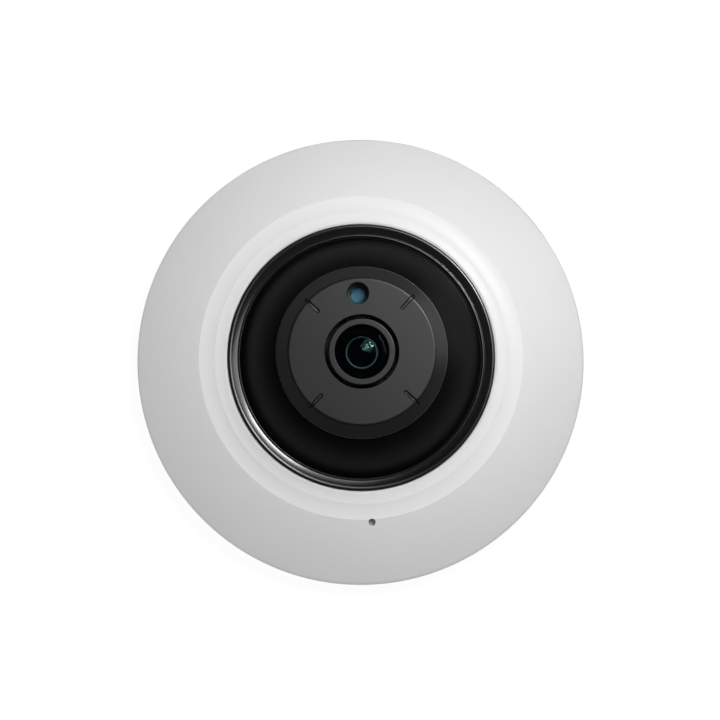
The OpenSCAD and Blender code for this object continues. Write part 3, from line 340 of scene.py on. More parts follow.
cover = piece(
    "cover_shell", turned(rounded(cover_outline), 256),
    adds=round_the_axis(cover_boss, screw_circle, screw_angles),
    cuts=round_the_axis(lambda r: rod(boss_bore_r, boss_low - 1, boss_bore_top, r), screw_circle,
                        screw_angles) + [rod(mic_hole_r, *mic_hole_ends, 0, mic_y)], edge=0.12)
dressed(cover, finish("cover white", moulded, {
    "Colour": (0.80, 0.80, 0.812, 1), "Drift": 0.02, "Gloss": 0.42, "Gloss Drift": 0.05,
    "Grain Size": 0.22, "Grain Depth": 0.004}, IOR=1.5, Specular_IOR_Level=0.22),
    "front_cover")

# Bezel ring. Gloss black ABS, pressed into the cover's opening: it clamps the window's flange and
# frames it with a rounded bead, a dished slope and a small inner lip.
bezel_low, bezel_high = span("bezel_ring")
bezel_in_r, bezel_skirt_r, bezel_top = 32.0, bezel_high.x, bezel_high.z
bead_r, bead_w, skirt_in_r, foot_z = 35.42, 1.0, 34.42, 18.24
valley, lip_top = (32.76, 19.06), bezel_top - 0.35
bead = (bead_r - bead_w / 2, bezel_top - bead_w / 2)
slope_top = (34.5, bezel_top - 0.015)
slope_centre, slope_r = bulge(slope_top, valley, math.radians(-3))
slope_start, slope_end = bearing(slope_centre, slope_top), bearing(slope_centre, valley)
bezel_outline = (
    [(bezel_skirt_r, bezel_low.z, 0.1), (bezel_skirt_r, bead[1])]
    + arc(bead, bead_w / 2, 0, math.radians(96), 14)
    + arc(slope_centre, abs(slope_r), slope_start, slope_end, 14)[:-1]
    + [(*valley, 0.12), (bezel_in_r + 0.5, lip_top, 0.12), (bezel_in_r + 0.2, lip_top - 0.01, 0.1),
       (bezel_in_r, foot_z), (skirt_in_r, foot_z), (skirt_in_r, bezel_low.z)])
bezel = piece("bezel", turned(rounded(bezel_outline, 5), 256))
dressed(bezel, finish("bezel gloss black", moulded, {
    "Colour": (0.005, 0.005, 0.0055, 1), "Drift": 0.1, "Gloss": 0.15, "Gloss Drift": 0.03,
    "Grain Size": 2.5, "Grain Depth": 0.002}, IOR=1.5), "bezel_ring")

# Window. One moulding of infrared-pass acrylic, almost black to the eye: a flange under the bezel, a
# curved wall that rises to the turret, and a collar that keeps stray infrared light off the lens.
window_low, window_high = span("window")
window_foot, window_top = (31.7, 19.1), (22.65, window_high.z)
window_wall, flange_t, collar_t, collar_low = 1.8, 1.2, 1.35, 27.6
window_centre, window_r = bulge(window_foot, window_top, math.radians(15))
collar_r = window_top[0] + collar_t


def window_inside(radius):
    """Point of the window's inner face at a distance from the axis."""
    drop = math.sqrt((window_r - window_wall) ** 2 - (radius - window_centre[0]) ** 2)
    return radius, window_centre[1] + drop


inner_foot = window_inside(window_foot[0] - window_wall)
inner_top = window_inside(collar_r)
window_outline = (
    [(inner_foot[0], window_low.z), (window_high.x, window_low.z, 0.1),
     (window_high.x, window_low.z + flange_t, 0.1), (window_foot[0], window_low.z + flange_t)]
    + arc(window_centre, window_r, bearing(window_centre, window_foot),
          bearing(window_centre, window_top), 40)[:-1]
    + [(*window_top, 0.05), (window_top[0], collar_low), (collar_r, collar_low)]
    + arc(window_centre, window_r - window_wall, bearing(window_centre, inner_top),
          bearing(window_centre, inner_foot), 24))
window = piece("window_dome", turned(rounded(window_outline), 256))
dressed(window, finish("window infrared black", moulded, {
    "Colour": (0.0035, 0.0033, 0.0035, 1), "Drift": 0.1, "Gloss": 0.36, "Gloss Drift": 0.03,
    "Grain Size": 3.0, "Grain Depth": 0.001}, IOR=1.2, Specular_IOR_Level=0.2), "window")

# Lens turret. Matte black glass-filled nylon with a spark-eroded texture: a flat face with a
# chamfered shoulder, four short grooves, the well of the lens and the light sensor's tube. It
# stands on the chassis on three screw bosses.
turret_low, turret_high = span("lens_turret")
turret_r, turret_top, turret_wall = turret_high.x, turret_high.z, 1.6
shoulder = (turret_r, turret_top - 3.2)
face_r, face_in_r, ceiling_z = turret_r - 3.3, 8.0, turret_top - 1.84
well_r, well_wall, well_wall_h, well_chamfer, hole_low = 9.66, 1.2, 2.7, 0.08, 30
light_y, light_r, light_tube_wall, light_tube_low, light_chamfer = 15.25, 2.8, 0.9, 31.16, 0.14
groove_angles, groove_in_r, groove_l = (43.5, 133.5, 223.5, 313.5), 15.0, 5.3
groove_w, groove_floor_w, groove_depth, groove_spare = 1.06, 0.5, 0.5, 0.6
post_circle, post_angles, post_r, post_h = 19.23, (45, 165, 285), 1.8, 6
post_bore_r, post_bore_low, post_bore_h, overlap = 0.72, 16, 5.5, 0.5
turret_outline = [
    (turret_r - turret_wall, turret_low.z), (turret_r, turret_low.z, 0.2), (*shoulder, 0.25),
    (turret_r - 0.15, shoulder[1], 0.06), (face_r, turret_top, 0.85), (face_in_r, turret_top),
    (face_in_r, ceiling_z), (turret_r - turret_wall, ceiling_z, 0.5)]


def prism(outline, low, high):
    """An upright prism over a flat outline."""
    shape = bmesh.new()
    face = shape.faces.new([shape.verts.new((x, y, low)) for x, y in outline])
    grown = bmesh.ops.extrude_face_region(shape, geom=[face])["geom"]
    bmesh.ops.translate(shape, verts=[v for v in grown if isinstance(v, bmesh.types.BMVert)],
                        vec=(0, 0, high - low))
    bmesh.ops.recalc_face_normals(shape, faces=shape.faces)
    return shape


def groove(circle_r):
    """A groove with round ends and sloping walls, whose floor follows the face and the shoulder."""
    far = circle_r + groove_l - groove_w
    along = [circle_r + (far - circle_r) * share for share in (0.3, 0.6, 0.8, 0.9)]
    half = groove_w / 2
    shape = prism(
        arc((far, 0), half, -math.pi / 2, math.pi / 2, 12) + [(x, half) for x in reversed(along)]
        + arc((circle_r, 0), half, math.pi / 2, 1.5 * math.pi, 12) + [(x, -half) for x in along],
        0, groove_spare)
    bottom = min(shape.faces, key=lambda face: face.calc_center_median().z)
    bmesh.ops.inset_region(shape, faces=[bottom], thickness=(groove_w - groove_floor_w) / 2,
                           use_even_offset=True)
    bmesh.ops.translate(shape, verts=bottom.verts, vec=(0, 0, -groove_depth))
    fall = (turret_top - shoulder[1]) / (shoulder[0] - face_r)
    for vert in shape.verts:
        vert.co.z += turret_top - max(0, vert.co.x - face_r) * fall
    bmesh.ops.triangulate(shape, faces=shape.faces)
    return shape


def chamfered(radius, chamfer, sides):
    """A cutter for a hole down from the turret's face, with a flat chamfer at its mouth."""
    spare = 0.4
    return turned([
        (0, hole_low), (radius, hole_low), (radius, turret_top - chamfer),
        (radius + chamfer + spare, turret_top + spare), (0, turret_top + spare)], sides, on_axis=True)


sensor_hole = chamfered(light_r, light_chamfer, 64)
bmesh.ops.translate(sensor_hole, verts=sensor_hole.verts, vec=(0, light_y, 0))
turret = piece(
    "turret", turned(rounded(turret_outline), 192),
    adds=[rod(well_r + well_wall, ceiling_z - well_wall_h, ceiling_z + overlap),
          rod(light_r + light_tube_wall, light_tube_low, ceiling_z + overlap, 0, light_y)]
    + round_the_axis(lambda r: rod(post_r, turret_low.z, turret_low.z + post_h, r), post_circle, post_angles),
    cuts=round_the_axis(groove, groove_in_r + groove_w / 2, groove_angles)
    + [chamfered(well_r, well_chamfer, 160), sensor_hole]
    + round_the_axis(lambda r: rod(post_bore_r, post_bore_low, turret_low.z + post_bore_h, r), post_circle,
                     post_angles), edge=0.1)
dressed(turret, finish("turret grey", moulded, {
    "Colour": (0.005, 0.005, 0.0056, 1), "Drift": 0.08, "Gloss": 0.38, "Gloss Drift": 0.04,
    "Grain Size": 0.16, "Grain Depth": 0.003}, IOR=1.5, Specular_IOR_Level=0.24),
    "lens_turret")

# Lens ring. Black anodised aluminium, turned on a lathe and screwed over the barrel's head, where
# it holds the front glass down.
ring_low, ring_high = span("lens_ring")
ring_in_r, ring_seat_r, ring_lip_t = 6.98, 7.6, 1.0
ring_outline = [
    (ring_seat_r, ring_low.z), (ring_high.x, ring_low.z, 0.1), (ring_high.x, ring_high.z, 0.28),
    (ring_in_r + 0.1, ring_high.z, 0.2), (ring_in_r, ring_high.z - 0.45, 0.1),
    (ring_seat_r, ring_high.z - ring_lip_t)]
lens_ring = piece("lens_trim_ring", turned(rounded(ring_outline), 160))


def off_axis(tree):
    """Distance of a place on the object from the lens axis, and its height."""
    x, y, height = add_node(tree, "ShaderNodeSeparateXYZ", {0: object_place(tree)}).outputs
    flat = add_node(tree, "ShaderNodeCombineXYZ", {0: x, 1: y})
    length = add_node(tree, "ShaderNodeVectorMath", {0: flat.outputs[0]}, operation="LENGTH")
    return length.outputs["Value"], height


def lathe_marks(tree, place, per_size):
    """Fine rings round the lens axis, in the drift and in the relief."""
    walk = maths(tree, "MULTIPLY", maths(tree, "ADD", *off_axis(tree)), per_size)
    marks = add_node(tree, "ShaderNodeTexNoise", {"W": walk, "Scale": 1.0, "Detail": 2.0},
                     noise_dimensions="1D")
    return marks.outputs[0], marks.outputs[0]


lathed = surface_group("lathe marks", "Mark", (0.1, 0.3, 0.1, 0.1, 0.004), lathe_marks)
dressed(lens_ring, finish("lens ring anodised", lathed, {
    "Colour": (0.005, 0.005, 0.0056, 1), "Gloss": 0.38, "Mark Size": 0.12, "Mark Depth": 0.002}, IOR=1.5,
    Specular_IOR_Level=0.24), "lens_ring")

# Front glass. A strongly curved meniscus of optical glass, ground and polished, with a blue-green
# anti-reflection coating. Its flat rim underneath is painted black.
glass_low, glass_high = span("front_element")
face_radius, glass_edge_r, hollow_r, middle_t, rim_reach = 9.2, glass_high.x, 5.0, 1.4, 0.05
face_centre = (0, glass_high.z - face_radius)
hollow_centre = (0, glass_high.z - middle_t - hollow_r)
edge_angle = math.acos(glass_edge_r / face_radius)
hollow_angle = math.asin((glass_low.z - hollow_centre[1]) / hollow_r)
glass_outline = (
    arc(hollow_centre, hollow_r, math.pi / 2, hollow_angle, 28)
    + [(glass_edge_r, glass_low.z, 0.08)]
    + arc(face_centre, face_radius, edge_angle, math.pi / 2, 36))
front_glass = piece("front_glass", turned(rounded(glass_outline), 160, on_axis=True))


def ramp(tree, value, start, end, low, high):
    """Runs from low to high while a value runs from start to end."""
    return add_node(tree, "ShaderNodeMapRange", {
        "Value": value, "From Min": start, "From Max": end, "To Min": low, "To Max": high}).outputs[0]


def clear_glass(name, haze_scale, haze_detail, gloss, **shader):
    """Clear glass with a thin uneven film, which varies its gloss between two values."""
    made, tree, surface = base_material(name, {"Transmission Weight": 1.0, **shader})
    haze = add_node(tree, "ShaderNodeTexNoise", {
        "Vector": object_place(tree), "Scale": haze_scale, "Detail": haze_detail})
    tree.links.new(ramp(tree, haze.outputs[0], 0.0, 1.0, *gloss), surface.inputs["Roughness"])
    return made


coating = clear_glass("coated glass", 120.0, 1.0, (0.03, 0.06), Base_Color=(0.2, 0.27, 0.29, 1), IOR=1.19,
                      Specular_Tint=(0.5, 1.0, 0.93, 1))
dressed(front_glass, coating, "front_element")
front_glass.data.materials.append(finish("lens edge paint", moulded, {
    "Colour": (0.003, 0.003, 0.0035, 1), "Gloss": 0.7, "Grain Size": 0.1, "Grain Depth": 0.004},
    Specular_IOR_Level=0.0))
for face in front_glass.data.polygons:
    if face.center.z < (glass_low.z + rim_reach) * MM and face.center.xy.length > hollow_r * MM:
        face.material_index = 1

# Spacer ring and second glass. The spacer is a black turned ring, seen through the front glass, whose
# inner edge carries a painted highlight, and the second glass under it is hollow on both faces.
spacer_low, spacer_high = span("front_spacer")
spacer_in_r, spacer_edge, highlight_r, highlight_fade = 4.05, 0.3, 4.36, 0.04
spacer_outline = [
    (spacer_in_r + spacer_edge, spacer_low.z), (spacer_high.x, spacer_low.z, 0.08),
    (spacer_high.x, spacer_high.z, 0.08), (spacer_in_r + spacer_edge, spacer_high.z, 0.06),
    (spacer_in_r, spacer_high.z - spacer_edge, 0.06), (spacer_in_r, spacer_low.z + spacer_edge, 0.06)]
spacer = piece("lens_spacer", turned(rounded(spacer_outline), 128))
spacer_finish = finish("spacer turned", lathed, {
    "Gloss": 0.5, "Mark Size": 0.08, "Mark Depth": 0.003}, IOR=1.2, Specular_IOR_Level=0.05)
tree = spacer_finish.node_tree
# Painted highlight: the colour turns bright in a thin band at the inner edge, standing in for light caught
# there.
highlight_share = ramp(tree, off_axis(tree)[0], highlight_r * MM, (highlight_r + highlight_fade) * MM, 1.0, 0.0)
painted_highlight = add_node(tree, "ShaderNodeMix", {
    0: highlight_share, 6: (0.004, 0.004, 0.005, 1), 7: (0.75, 0.77, 0.8, 1)}, data_type="RGBA")
pattern = next(n for n in tree.nodes if n.bl_idname == "ShaderNodeGroup")
tree.links.new(painted_highlight.outputs[2], pattern.inputs["Colour"])
dressed(spacer, spacer_finish, "front_spacer")

second_low, second_high = span("second_element")
hollow_edge_r, top_face_r, bottom_face_r = 3.4, 6.0, 8.0
top_dip = math.sqrt(top_face_r ** 2 - hollow_edge_r ** 2)
bottom_rise = math.sqrt(bottom_face_r ** 2 - hollow_edge_r ** 2)
top_centre = (0, second_high.z + top_dip)
bottom_centre = (0, second_low.z - bottom_rise)
second_outline = (
    arc(bottom_centre, bottom_face_r, math.pi / 2, math.asin(bottom_rise / bottom_face_r), 16)
    + [(second_high.x, second_low.z, 0.06), (second_high.x, second_high.z, 0.06)]
    + arc(top_centre, top_face_r, -math.asin(top_dip / top_face_r), -math.pi / 2, 20))
second_glass = piece("second_glass", turned(rounded(second_outline), 128, on_axis=True))
dressed(second_glass, coating, "second_element")

# Light sensor. A photocell of blue resin at the bottom of its tube, held by a rubber sleeve, that
# switches the camera to night vision.
cell_low, cell_high = span("light_sensor")
cell_r, cell_h, lead_r, lead_spots = 2.05, 2.4, 0.25, (-0.9, 0.9)
cell_outline = [
    (0, cell_high.z - cell_h), (cell_r, cell_high.z - cell_h, 0.1), (cell_r, cell_high.z - 0.3, 0.25),
    (cell_r - 0.35, cell_high.z - 0.08, 0.1), (cell_r - 0.55, cell_high.z - 0.16, 0.08),
    (0, cell_high.z)]
photocell = piece(
    "photocell", turned(rounded(cell_outline), 64, on_axis=True),
    adds=[rod(lead_r, cell_low.z, cell_high.z - cell_h + 0.2, x, 0, 16) for x in lead_spots])
photocell.data.transform(Matrix.Translation((0, light_y * MM, 0)))
dressed(photocell, finish("photocell blue", moulded, {
    "Colour": (0.05, 0.29, 0.43, 1), "Drift": 0.9, "Gloss": 0.4, "Grain Size": 0.6,
    "Grain Depth": 0.02}, IOR=1.5, Specular_IOR_Level=0.25), "light_sensor")

# Screws. Pan-head screws of zinc-plated steel with a hexagon socket and a rolled thread. The larger
# ones hold the cover, the chassis and the main board, the smallest the turret, the lens holder, the
# sensor board and the infrared board.
zinc = finish("screw zinc plated", moulded, {
    "Colour": (0.56, 0.57, 0.58, 1), "Drift": 0.15, "Gloss": 0.3, "Gloss Drift": 0.15,
    "Grain Size": 0.2, "Grain Depth": 0.003}, Metallic=1.0)
m25, m2, m16 = (1.25, 2.3, 1.4, 1.25), (1.0, 1.9, 1.2, 0.5), (0.7, 1.2, 0.8, 0.38)


def merged(shapes):
    """One shape that holds several, in their own places."""
    whole = bmesh.new()
    for shape in shapes:
        drawn = bpy.data.meshes.new("drawn")
        shape.to_mesh(drawn)
        shape.free()
        whole.from_mesh(drawn)
        bpy.data.meshes.remove(drawn)
    return whole


def spots_on(circle_r, angles):
    """Places on a circle round the lens axis."""
    return [(circle_r * math.cos(math.radians(a)), circle_r * math.sin(math.radians(a))) for a in angles]


def screws(name, node, spots, sizes, head_up=True):
    """A piece of equal screws, as high as the node: shank radius, head radius, head height and socket
    radius come as sizes."""
    shank_r, head_r, head_h, socket_r = sizes
    low, high = span(node)
    length = high.z - low.z - head_h
    pitch, depth = shank_r * 0.4, shank_r * 0.14
    count = int((length - pitch) / pitch)
    thread = [(shank_r - depth * (i % 2), -pitch / 2 - i * pitch / 2) for i in range(2 * count)]
    outline = [(0, -length), (shank_r * 0.7, -length)] + thread[::-1] + [
        (shank_r, 0), (head_r, 0, 0.1), (head_r, head_h * 0.6, head_h * 0.5), (head_r * 0.7, head_h, 0.2),
        (0, head_h)]
    side, foot = (1, high.z - head_h) if head_up else (-1, low.z + head_h)
    shapes, sockets = [], []
    for x, y in spots:
        shape = turned(rounded([(c[0], side * c[1], *c[2:]) for c in outline], 4, 0.02), 24, on_axis=True)
        bmesh.ops.translate(shape, verts=shape.verts, vec=(x, y, foot))
        shapes.append(shape)
        ends = sorted((foot + side * head_h * 0.45, foot + side * (head_h + 0.3)))
        sockets.append(rod(socket_r, *ends, x, y, 6))
    dressed(piece(name, merged(shapes), cuts=sockets), zinc, node)


board_boss_circle, board_boss_angles = 42.02, (75, 222, 318)
chassis_feet = [(x, y) for x in (-13.5, 13.5) for y in (-23.4, 23.4)]
board_bosses = spots_on(board_boss_circle, board_boss_angles)
sensor_feet = [(x, y) for x in (-9.0, 9.0) for y in (-9.6, 12.1)]
holder_feet, infrared_circle = [(-7.5, -5.8), (7.5, -5.8)], 28
screws("cover_bolts", "cover_screws", spots_on(screw_circle, screw_angles), m25, False)
screws("turret_bolts", "turret_screws", spots_on(post_circle, post_angles), m16, False)
screws("chassis_bolts", "chassis_screws", chassis_feet, m2)
screws("board_bolts", "board_screws", board_bosses, m2)
screws("sensor_bolts", "sensor_screws", sensor_feet, m16)
screws("holder_bolts", "holder_screws", holder_feet, m16, False)
screws("infrared_bolts", "ir_board_screws", spots_on(infrared_circle, screw_angles), m16)

# Mounting plate and lock studs. A zinc-plated steel disc, blanked and deburred, with a cable hole and
# three holes for the wall screws. Three turned studs are riveted into it, and the housing's keyholes
# turn onto their heads.
plate_low, plate_high = span("mounting_plate")
plate_r, cable_hole_r, wall_circle, wall_hole_r = plate_high.x, 13.0, 35.0, 2.1
stud_circle, stud_angles, stud_r, stud_head_r, stud_head_t = 40.0, (30, 150, 270), 2.0, 3.6, 1.0
rivet_r, seat, stamped, plate_ends = 1.5, 0.02, 0.18, (-1, 3)
plate = piece(
    "back_plate", turned(rounded([
        (cable_hole_r, plate_low.z, stamped), (plate_r, plate_low.z, stamped),
        (plate_r, plate_high.z, stamped), (cable_hole_r, plate_high.z, stamped)], 3), 160),
    cuts=round_the_axis(lambda r: rod(wall_hole_r, *plate_ends, r), wall_circle, screw_angles)
    + round_the_axis(lambda r: rod(rivet_r + seat, *plate_ends, r, sides=32), stud_circle, stud_angles),
    edge=0.12)
dressed(plate, finish("plate zinc", moulded, {
    "Colour": (0.55, 0.56, 0.57, 1), "Gloss": 0.38, "Gloss Drift": 0.3, "Drift": 0.3,
    "Grain Size": 0.5, "Grain Depth": 0.004}, Metallic=1.0), "mounting_plate", "bracket")

studs_low, studs_high = span("lock_studs")
head_low = studs_high.z - stud_head_t


def stud(circle_r):
    """One shouldered stud, upset at its foot."""
    shape = turned(rounded([
        (0, studs_low.z), (rivet_r, studs_low.z, 0.1), (rivet_r, plate_high.z + seat),
        (stud_r, plate_high.z + seat), (stud_r, head_low), (stud_head_r, head_low, 0.15),
        (stud_head_r, studs_high.z, 0.3), (0, studs_high.z)], 4), 48, on_axis=True)
    bmesh.ops.translate(shape, verts=shape.verts, vec=(circle_r, 0, 0))
    return shape


studs = piece("plate_studs", merged(round_the_axis(stud, stud_circle, stud_angles)))
dressed(studs, zinc, "lock_studs", "bracket")

# Back housing. A white moulding that closes the cover from behind, with a recess for the plate, three
# keyholes, a bay for the leads and sockets, stand-offs for the boards and a wall under the seal.
housing_low, housing_high = span("back_housing")
board_low, board_high = span("main_board")
jack_low, jack_high = span("network_jack")
power_low, power_high = span("power_jack")
housing_r, housing_lift, floor_z, floor_top = housing_high.x, housing_low.z, 4.0, 5.8
recess_r, recess_wall, rim_top = plate_r + 0.08, 1.6, housing_lift + 1.8
seal_r, seal_wall, seal_top = 55.4, 1.6, span("cover_gasket")[0].z - seat
pillar_r, pillar_top = 3.6, housing_lift + 3.5
bolt_hole_r, bolt_sink_r, bolt_sink_top, bolt_low = 1.4, 2.45, housing_lift + 1.55, 1
standoff_r, standoff_top, standoff_bore_r, standoff_bore_l = 3.0, board_low.z - seat, 1.02, 4.6
bay_low, bay_high, bay_wall, bay_gap, play = (-19, -18), (27, 16), 1.4, 0.3, 0.15
slot_r, slot_turn, entry_r = stud_r + 0.2, 15, stud_head_r + 0.4
floor_ends = (floor_z - overlap, floor_top + overlap)
housing_outline = [
    (0, floor_z), (recess_r, floor_z), (recess_r, housing_lift, 0.3), (housing_r, housing_lift, 0.4),
    (housing_r, rim_top, 0.2), (seal_r + seal_wall / 2, rim_top),
    (seal_r + seal_wall / 2, seal_top, 0.2), (seal_r - seal_wall / 2, seal_top, 0.2),
    (seal_r - seal_wall / 2, rim_top), (recess_r + recess_wall, rim_top),
    (recess_r + recess_wall, floor_top, 0.4), (0, floor_top)]


def block(low, high, round_by=0):
    """A block between two corners, with all its edges rounded alike."""
    shape = bmesh.new()
    bmesh.ops.create_cube(shape, size=1)
    low, high = Vector(low), Vector(high)
    bmesh.ops.scale(shape, verts=shape.verts, vec=high - low)
    bmesh.ops.translate(shape, verts=shape.verts, vec=(low + high) / 2)
    if round_by:
        bmesh.ops.bevel(shape, geom=shape.edges[:], offset=round_by, segments=2, profile=0.5,
                        affect="EDGES", material=-1)
    return shape


def keyhole(circle_r):
    """A keyhole slot: the stud's head goes in at one end and its neck turns to the other."""
    turn = math.radians(slot_turn)
    outline = arc((0, 0), circle_r + slot_r, -turn, 0, 12) + arc((0, 0), circle_r - slot_r, 0, -turn, 12)
    return prism(outline, *floor_ends)


housing = piece(
    "housing_shell", turned(rounded(housing_outline), 192, on_axis=True),
    adds=round_the_axis(lambda r: rod(pillar_r, rim_top - overlap, pillar_top, r), screw_circle, screw_angles)
    + [rod(standoff_r, floor_top - overlap, standoff_top, x, y) for x, y in chassis_feet]
    + round_the_axis(lambda r: rod(standoff_r, floor_top - overlap, standoff_top, r), board_boss_circle,
                     board_boss_angles)
    + [block((bay_low[0] - bay_wall, bay_low[1] - bay_wall, floor_top - overlap),
             (bay_high[0] + bay_wall, bay_high[1] + bay_wall, board_low.z - bay_gap), 0.3)],
    cuts=[block((*bay_low, floor_ends[0]), (*bay_high, board_low.z))]
    + [block((low.x - play, low.y - play, floor_ends[0]), (high.x + play, high.y + play, board_low.z))
       for low, high in ((jack_low, jack_high), (power_low, power_high))]
    + round_the_axis(keyhole, stud_circle, stud_angles)
    + round_the_axis(lambda r: rod(slot_r, *floor_ends, r), stud_circle, stud_angles)
    + round_the_axis(lambda r: rod(entry_r, *floor_ends, r), stud_circle,
                     [a - slot_turn for a in stud_angles])
    + round_the_axis(lambda r: rod(bolt_hole_r, bolt_low, pillar_top + 1, r), screw_circle, screw_angles)
    + round_the_axis(lambda r: rod(bolt_sink_r, bolt_low, bolt_sink_top, r), screw_circle, screw_angles)
    + [rod(standoff_bore_r, board_low.z - standoff_bore_l, board_low.z + 1, x, y, 24)
       for x, y in chassis_feet + board_bosses],
    edge=0.15)
dressed(housing, finish("housing white", moulded, {
    "Colour": (0.66, 0.66, 0.665, 1), "Gloss": 0.5, "Gloss Drift": 0.08, "Drift": 0.05,
    "Grain Size": 0.25, "Grain Depth": 0.008}), "back_housing")

# Network jack and its contacts. A black nylon body with a stepped opening for the plug and its latch,
# and eight gold-plated springs that rise away from its mouth.
black_nylon = finish("nylon black", moulded, {
    "Colour": (0.02, 0.02, 0.021, 1), "Gloss": 0.48, "Grain Size": 0.15, "Grain Depth": 0.006})
gold = finish("contact gold", moulded, {
    "Colour": (0.83, 0.6, 0.22, 1), "Gloss": 0.22, "Gloss Drift": 0.1, "Grain Size": 0.1}, Metallic=1.0)
plug_w, plug_h, plug_l, plug_floor = 11.8, 7.2, 14.0, 1.0
latch_w, latch_h, catch_w, catch_h, catch_l = 6.4, 1.2, 3.4, 0.7, 6.0
jack_y = (jack_low.y + jack_high.y) / 2
plug_z = jack_low.z + plug_floor


def plug_room(width, height, length):
    """The room for a part of the plug, open towards the bay."""
    return block((jack_high.x - length, jack_y - width / 2, plug_z),
                 (jack_high.x + 1, jack_y + width / 2, plug_z + height))


jack = piece("lan_socket", block(jack_low, jack_high), cuts=[
    plug_room(plug_w, plug_h, plug_l), plug_room(latch_w, plug_h + latch_h, plug_l),
    plug_room(catch_w, plug_h + latch_h + catch_h, catch_l)], edge=0.2)
dressed(jack, black_nylon, "network_jack")


def wire(points, radius, sides=12):
    """A round wire through points, made from a circle that is drawn out from one to the next."""
    shape = bmesh.new()
    line = [Vector(q) for q in points]
    bmesh.ops.create_circle(shape, cap_ends=True, radius=radius, segments=sides)
    bmesh.ops.transform(shape, verts=shape.verts, matrix=Matrix.Translation(line[0]) @ (
        line[1] - line[0]).to_track_quat("Z", "Y").to_matrix().to_4x4())
    tip = shape.faces[:][0]
    for here, there in zip(line, line[1:]):
        grown = bmesh.ops.extrude_face_region(shape, geom=[tip])["geom"]
        tip = next(g for g in grown if isinstance(g, bmesh.types.BMFace))
        bmesh.ops.translate(shape, verts=tip.verts, vec=there - here)
    bmesh.ops.recalc_face_normals(shape, faces=shape.faces)
    ends = [e for e in shape.edges if any(len(f.verts) == sides for f in e.link_faces)]
    bmesh.ops.bevel(shape, geom=ends, offset=radius * 0.5, segments=2, profile=0.5, affect="EDGES",
                    material=-1)
    return shape


contacts_low, contacts_high = span("jack_contacts")
contact_r, contact_pitch = 0.22, 1.27
contact_path = [(contacts_high.x - 0.3, contacts_low.z + contact_r + 0.05),
                (contacts_high.x - 0.8, contacts_low.z + contact_r),
                (contacts_low.x + 1.2, contacts_high.z - contact_r - 0.3),
                (contacts_low.x + 0.3, contacts_high.z - contact_r)]


def centred(count, pitch):
    """Places along a row, from its middle."""
    return [(i - (count - 1) / 2) * pitch for i in range(count)]


contacts = piece("lan_springs", merged([
    wire([(x, jack_y + y, z) for x, z in contact_path], contact_r) for y in centred(8, contact_pitch)]))
dressed(contacts, gold, "jack_contacts")

# Power jack. A black nylon block with a round bore and a plated pin in its middle.
power_y, power_z = (power_low.y + power_high.y) / 2, (power_low.z + power_high.z) / 2
power_bore_r, power_bore_l, mouth_r, mouth_l, mouth_cut = 2.8, 9.5, 3.3, 0.5, 1.2
power_pin_r, power_pin_l, power_pin_root = 1.0, 8.4, 0.4


def lying(shape, x, y, z):
    """Lays an upright shape along +X and moves it."""
    bmesh.ops.rotate(shape, verts=shape.verts, cent=(0, 0, 0), matrix=Matrix.Rotation(math.pi / 2, 3, "Y"))
    bmesh.ops.translate(shape, verts=shape.verts, vec=(x, y, z))
    return shape


power = piece(
    "power_socket", block(power_low, power_high),
    cuts=[lying(rod(power_bore_r, 0, power_bore_l + 1), power_high.x - power_bore_l, power_y, power_z),
          lying(rod(mouth_r, 0, mouth_cut), power_high.x - mouth_l, power_y, power_z)],
    edge=0.2)
dressed(power, black_nylon, "power_jack")
power_pin = piece("power_pin", lying(turned(rounded([
    (0, 0), (power_pin_r, 0), (power_pin_r, power_pin_l, 0.7), (0, power_pin_l)], 6), 32, on_axis=True),
    power_high.x - power_bore_l - power_pin_root, power_y, power_z))
dressed(power_pin, zinc)

# Card socket and memory card. The socket is a folded tinned sheet with a slot, and the card slides
# into it from the bay with its gold pads up.
shield_tin = finish("shield tinned sheet", moulded, {
    "Colour": (0.62, 0.62, 0.6, 1), "Gloss": 0.3, "Gloss Drift": 0.2, "Drift": 0.1,
    "Grain Size": 0.3, "Grain Depth": 0.003}, Metallic=1.0)
socket_low, socket_high = span("card_socket")
card_low, card_high = span("memory_card")
card_y, card_stop = (card_low.y + card_high.y) / 2, card_high.x + 0.6
window_start, window_end, window_half = socket_low.x + 3, socket_low.x + 9, 3.5
notch_start, notch_end, notch_depth = card_high.x - 6.2, card_high.x - 4.6, 0.7
grip_start, grip_end, grip_half, grip_depth = card_low.x + 0.5, card_low.x + 0.9, 3.5, 0.15
pad_start, pad_end, pad_half, pad_pitch = card_high.x - 3.4, card_high.x - 0.4, 0.4, 1.1
pad_sink, pad_rise = 0.05, 0.01
socket = piece(
    "card_shell", block(socket_low, socket_high),
    cuts=[block((socket_low.x - 1, card_low.y - play, card_low.z - play),
                (card_stop, card_high.y + play, card_high.z + play)),
          block((window_start, card_y - window_half, socket_low.z - 1),
                (window_end, card_y + window_half, card_low.z - play / 2))], edge=0.08)
dressed(socket, shield_tin, "card_socket")
card = piece("flash_card", block(card_low, card_high, 0.12), cuts=[
    block((notch_start, card_low.y - 1, card_low.z - 1),
          (notch_end, card_low.y + notch_depth, card_high.z + 1)),
    block((grip_start, card_y - grip_half, card_low.z - 1),
          (grip_end, card_y + grip_half, card_low.z + grip_depth))])
dressed(card, black_nylon, "memory_card", "card")
card_pads = piece("flash_pads", merged([
    block((pad_start, card_y + y - pad_half, card_high.z - pad_sink),
          (pad_end, card_y + y + pad_half, card_high.z + pad_rise)) for y in centred(8, pad_pitch)]))
dressed(card_pads, gold, body="card")

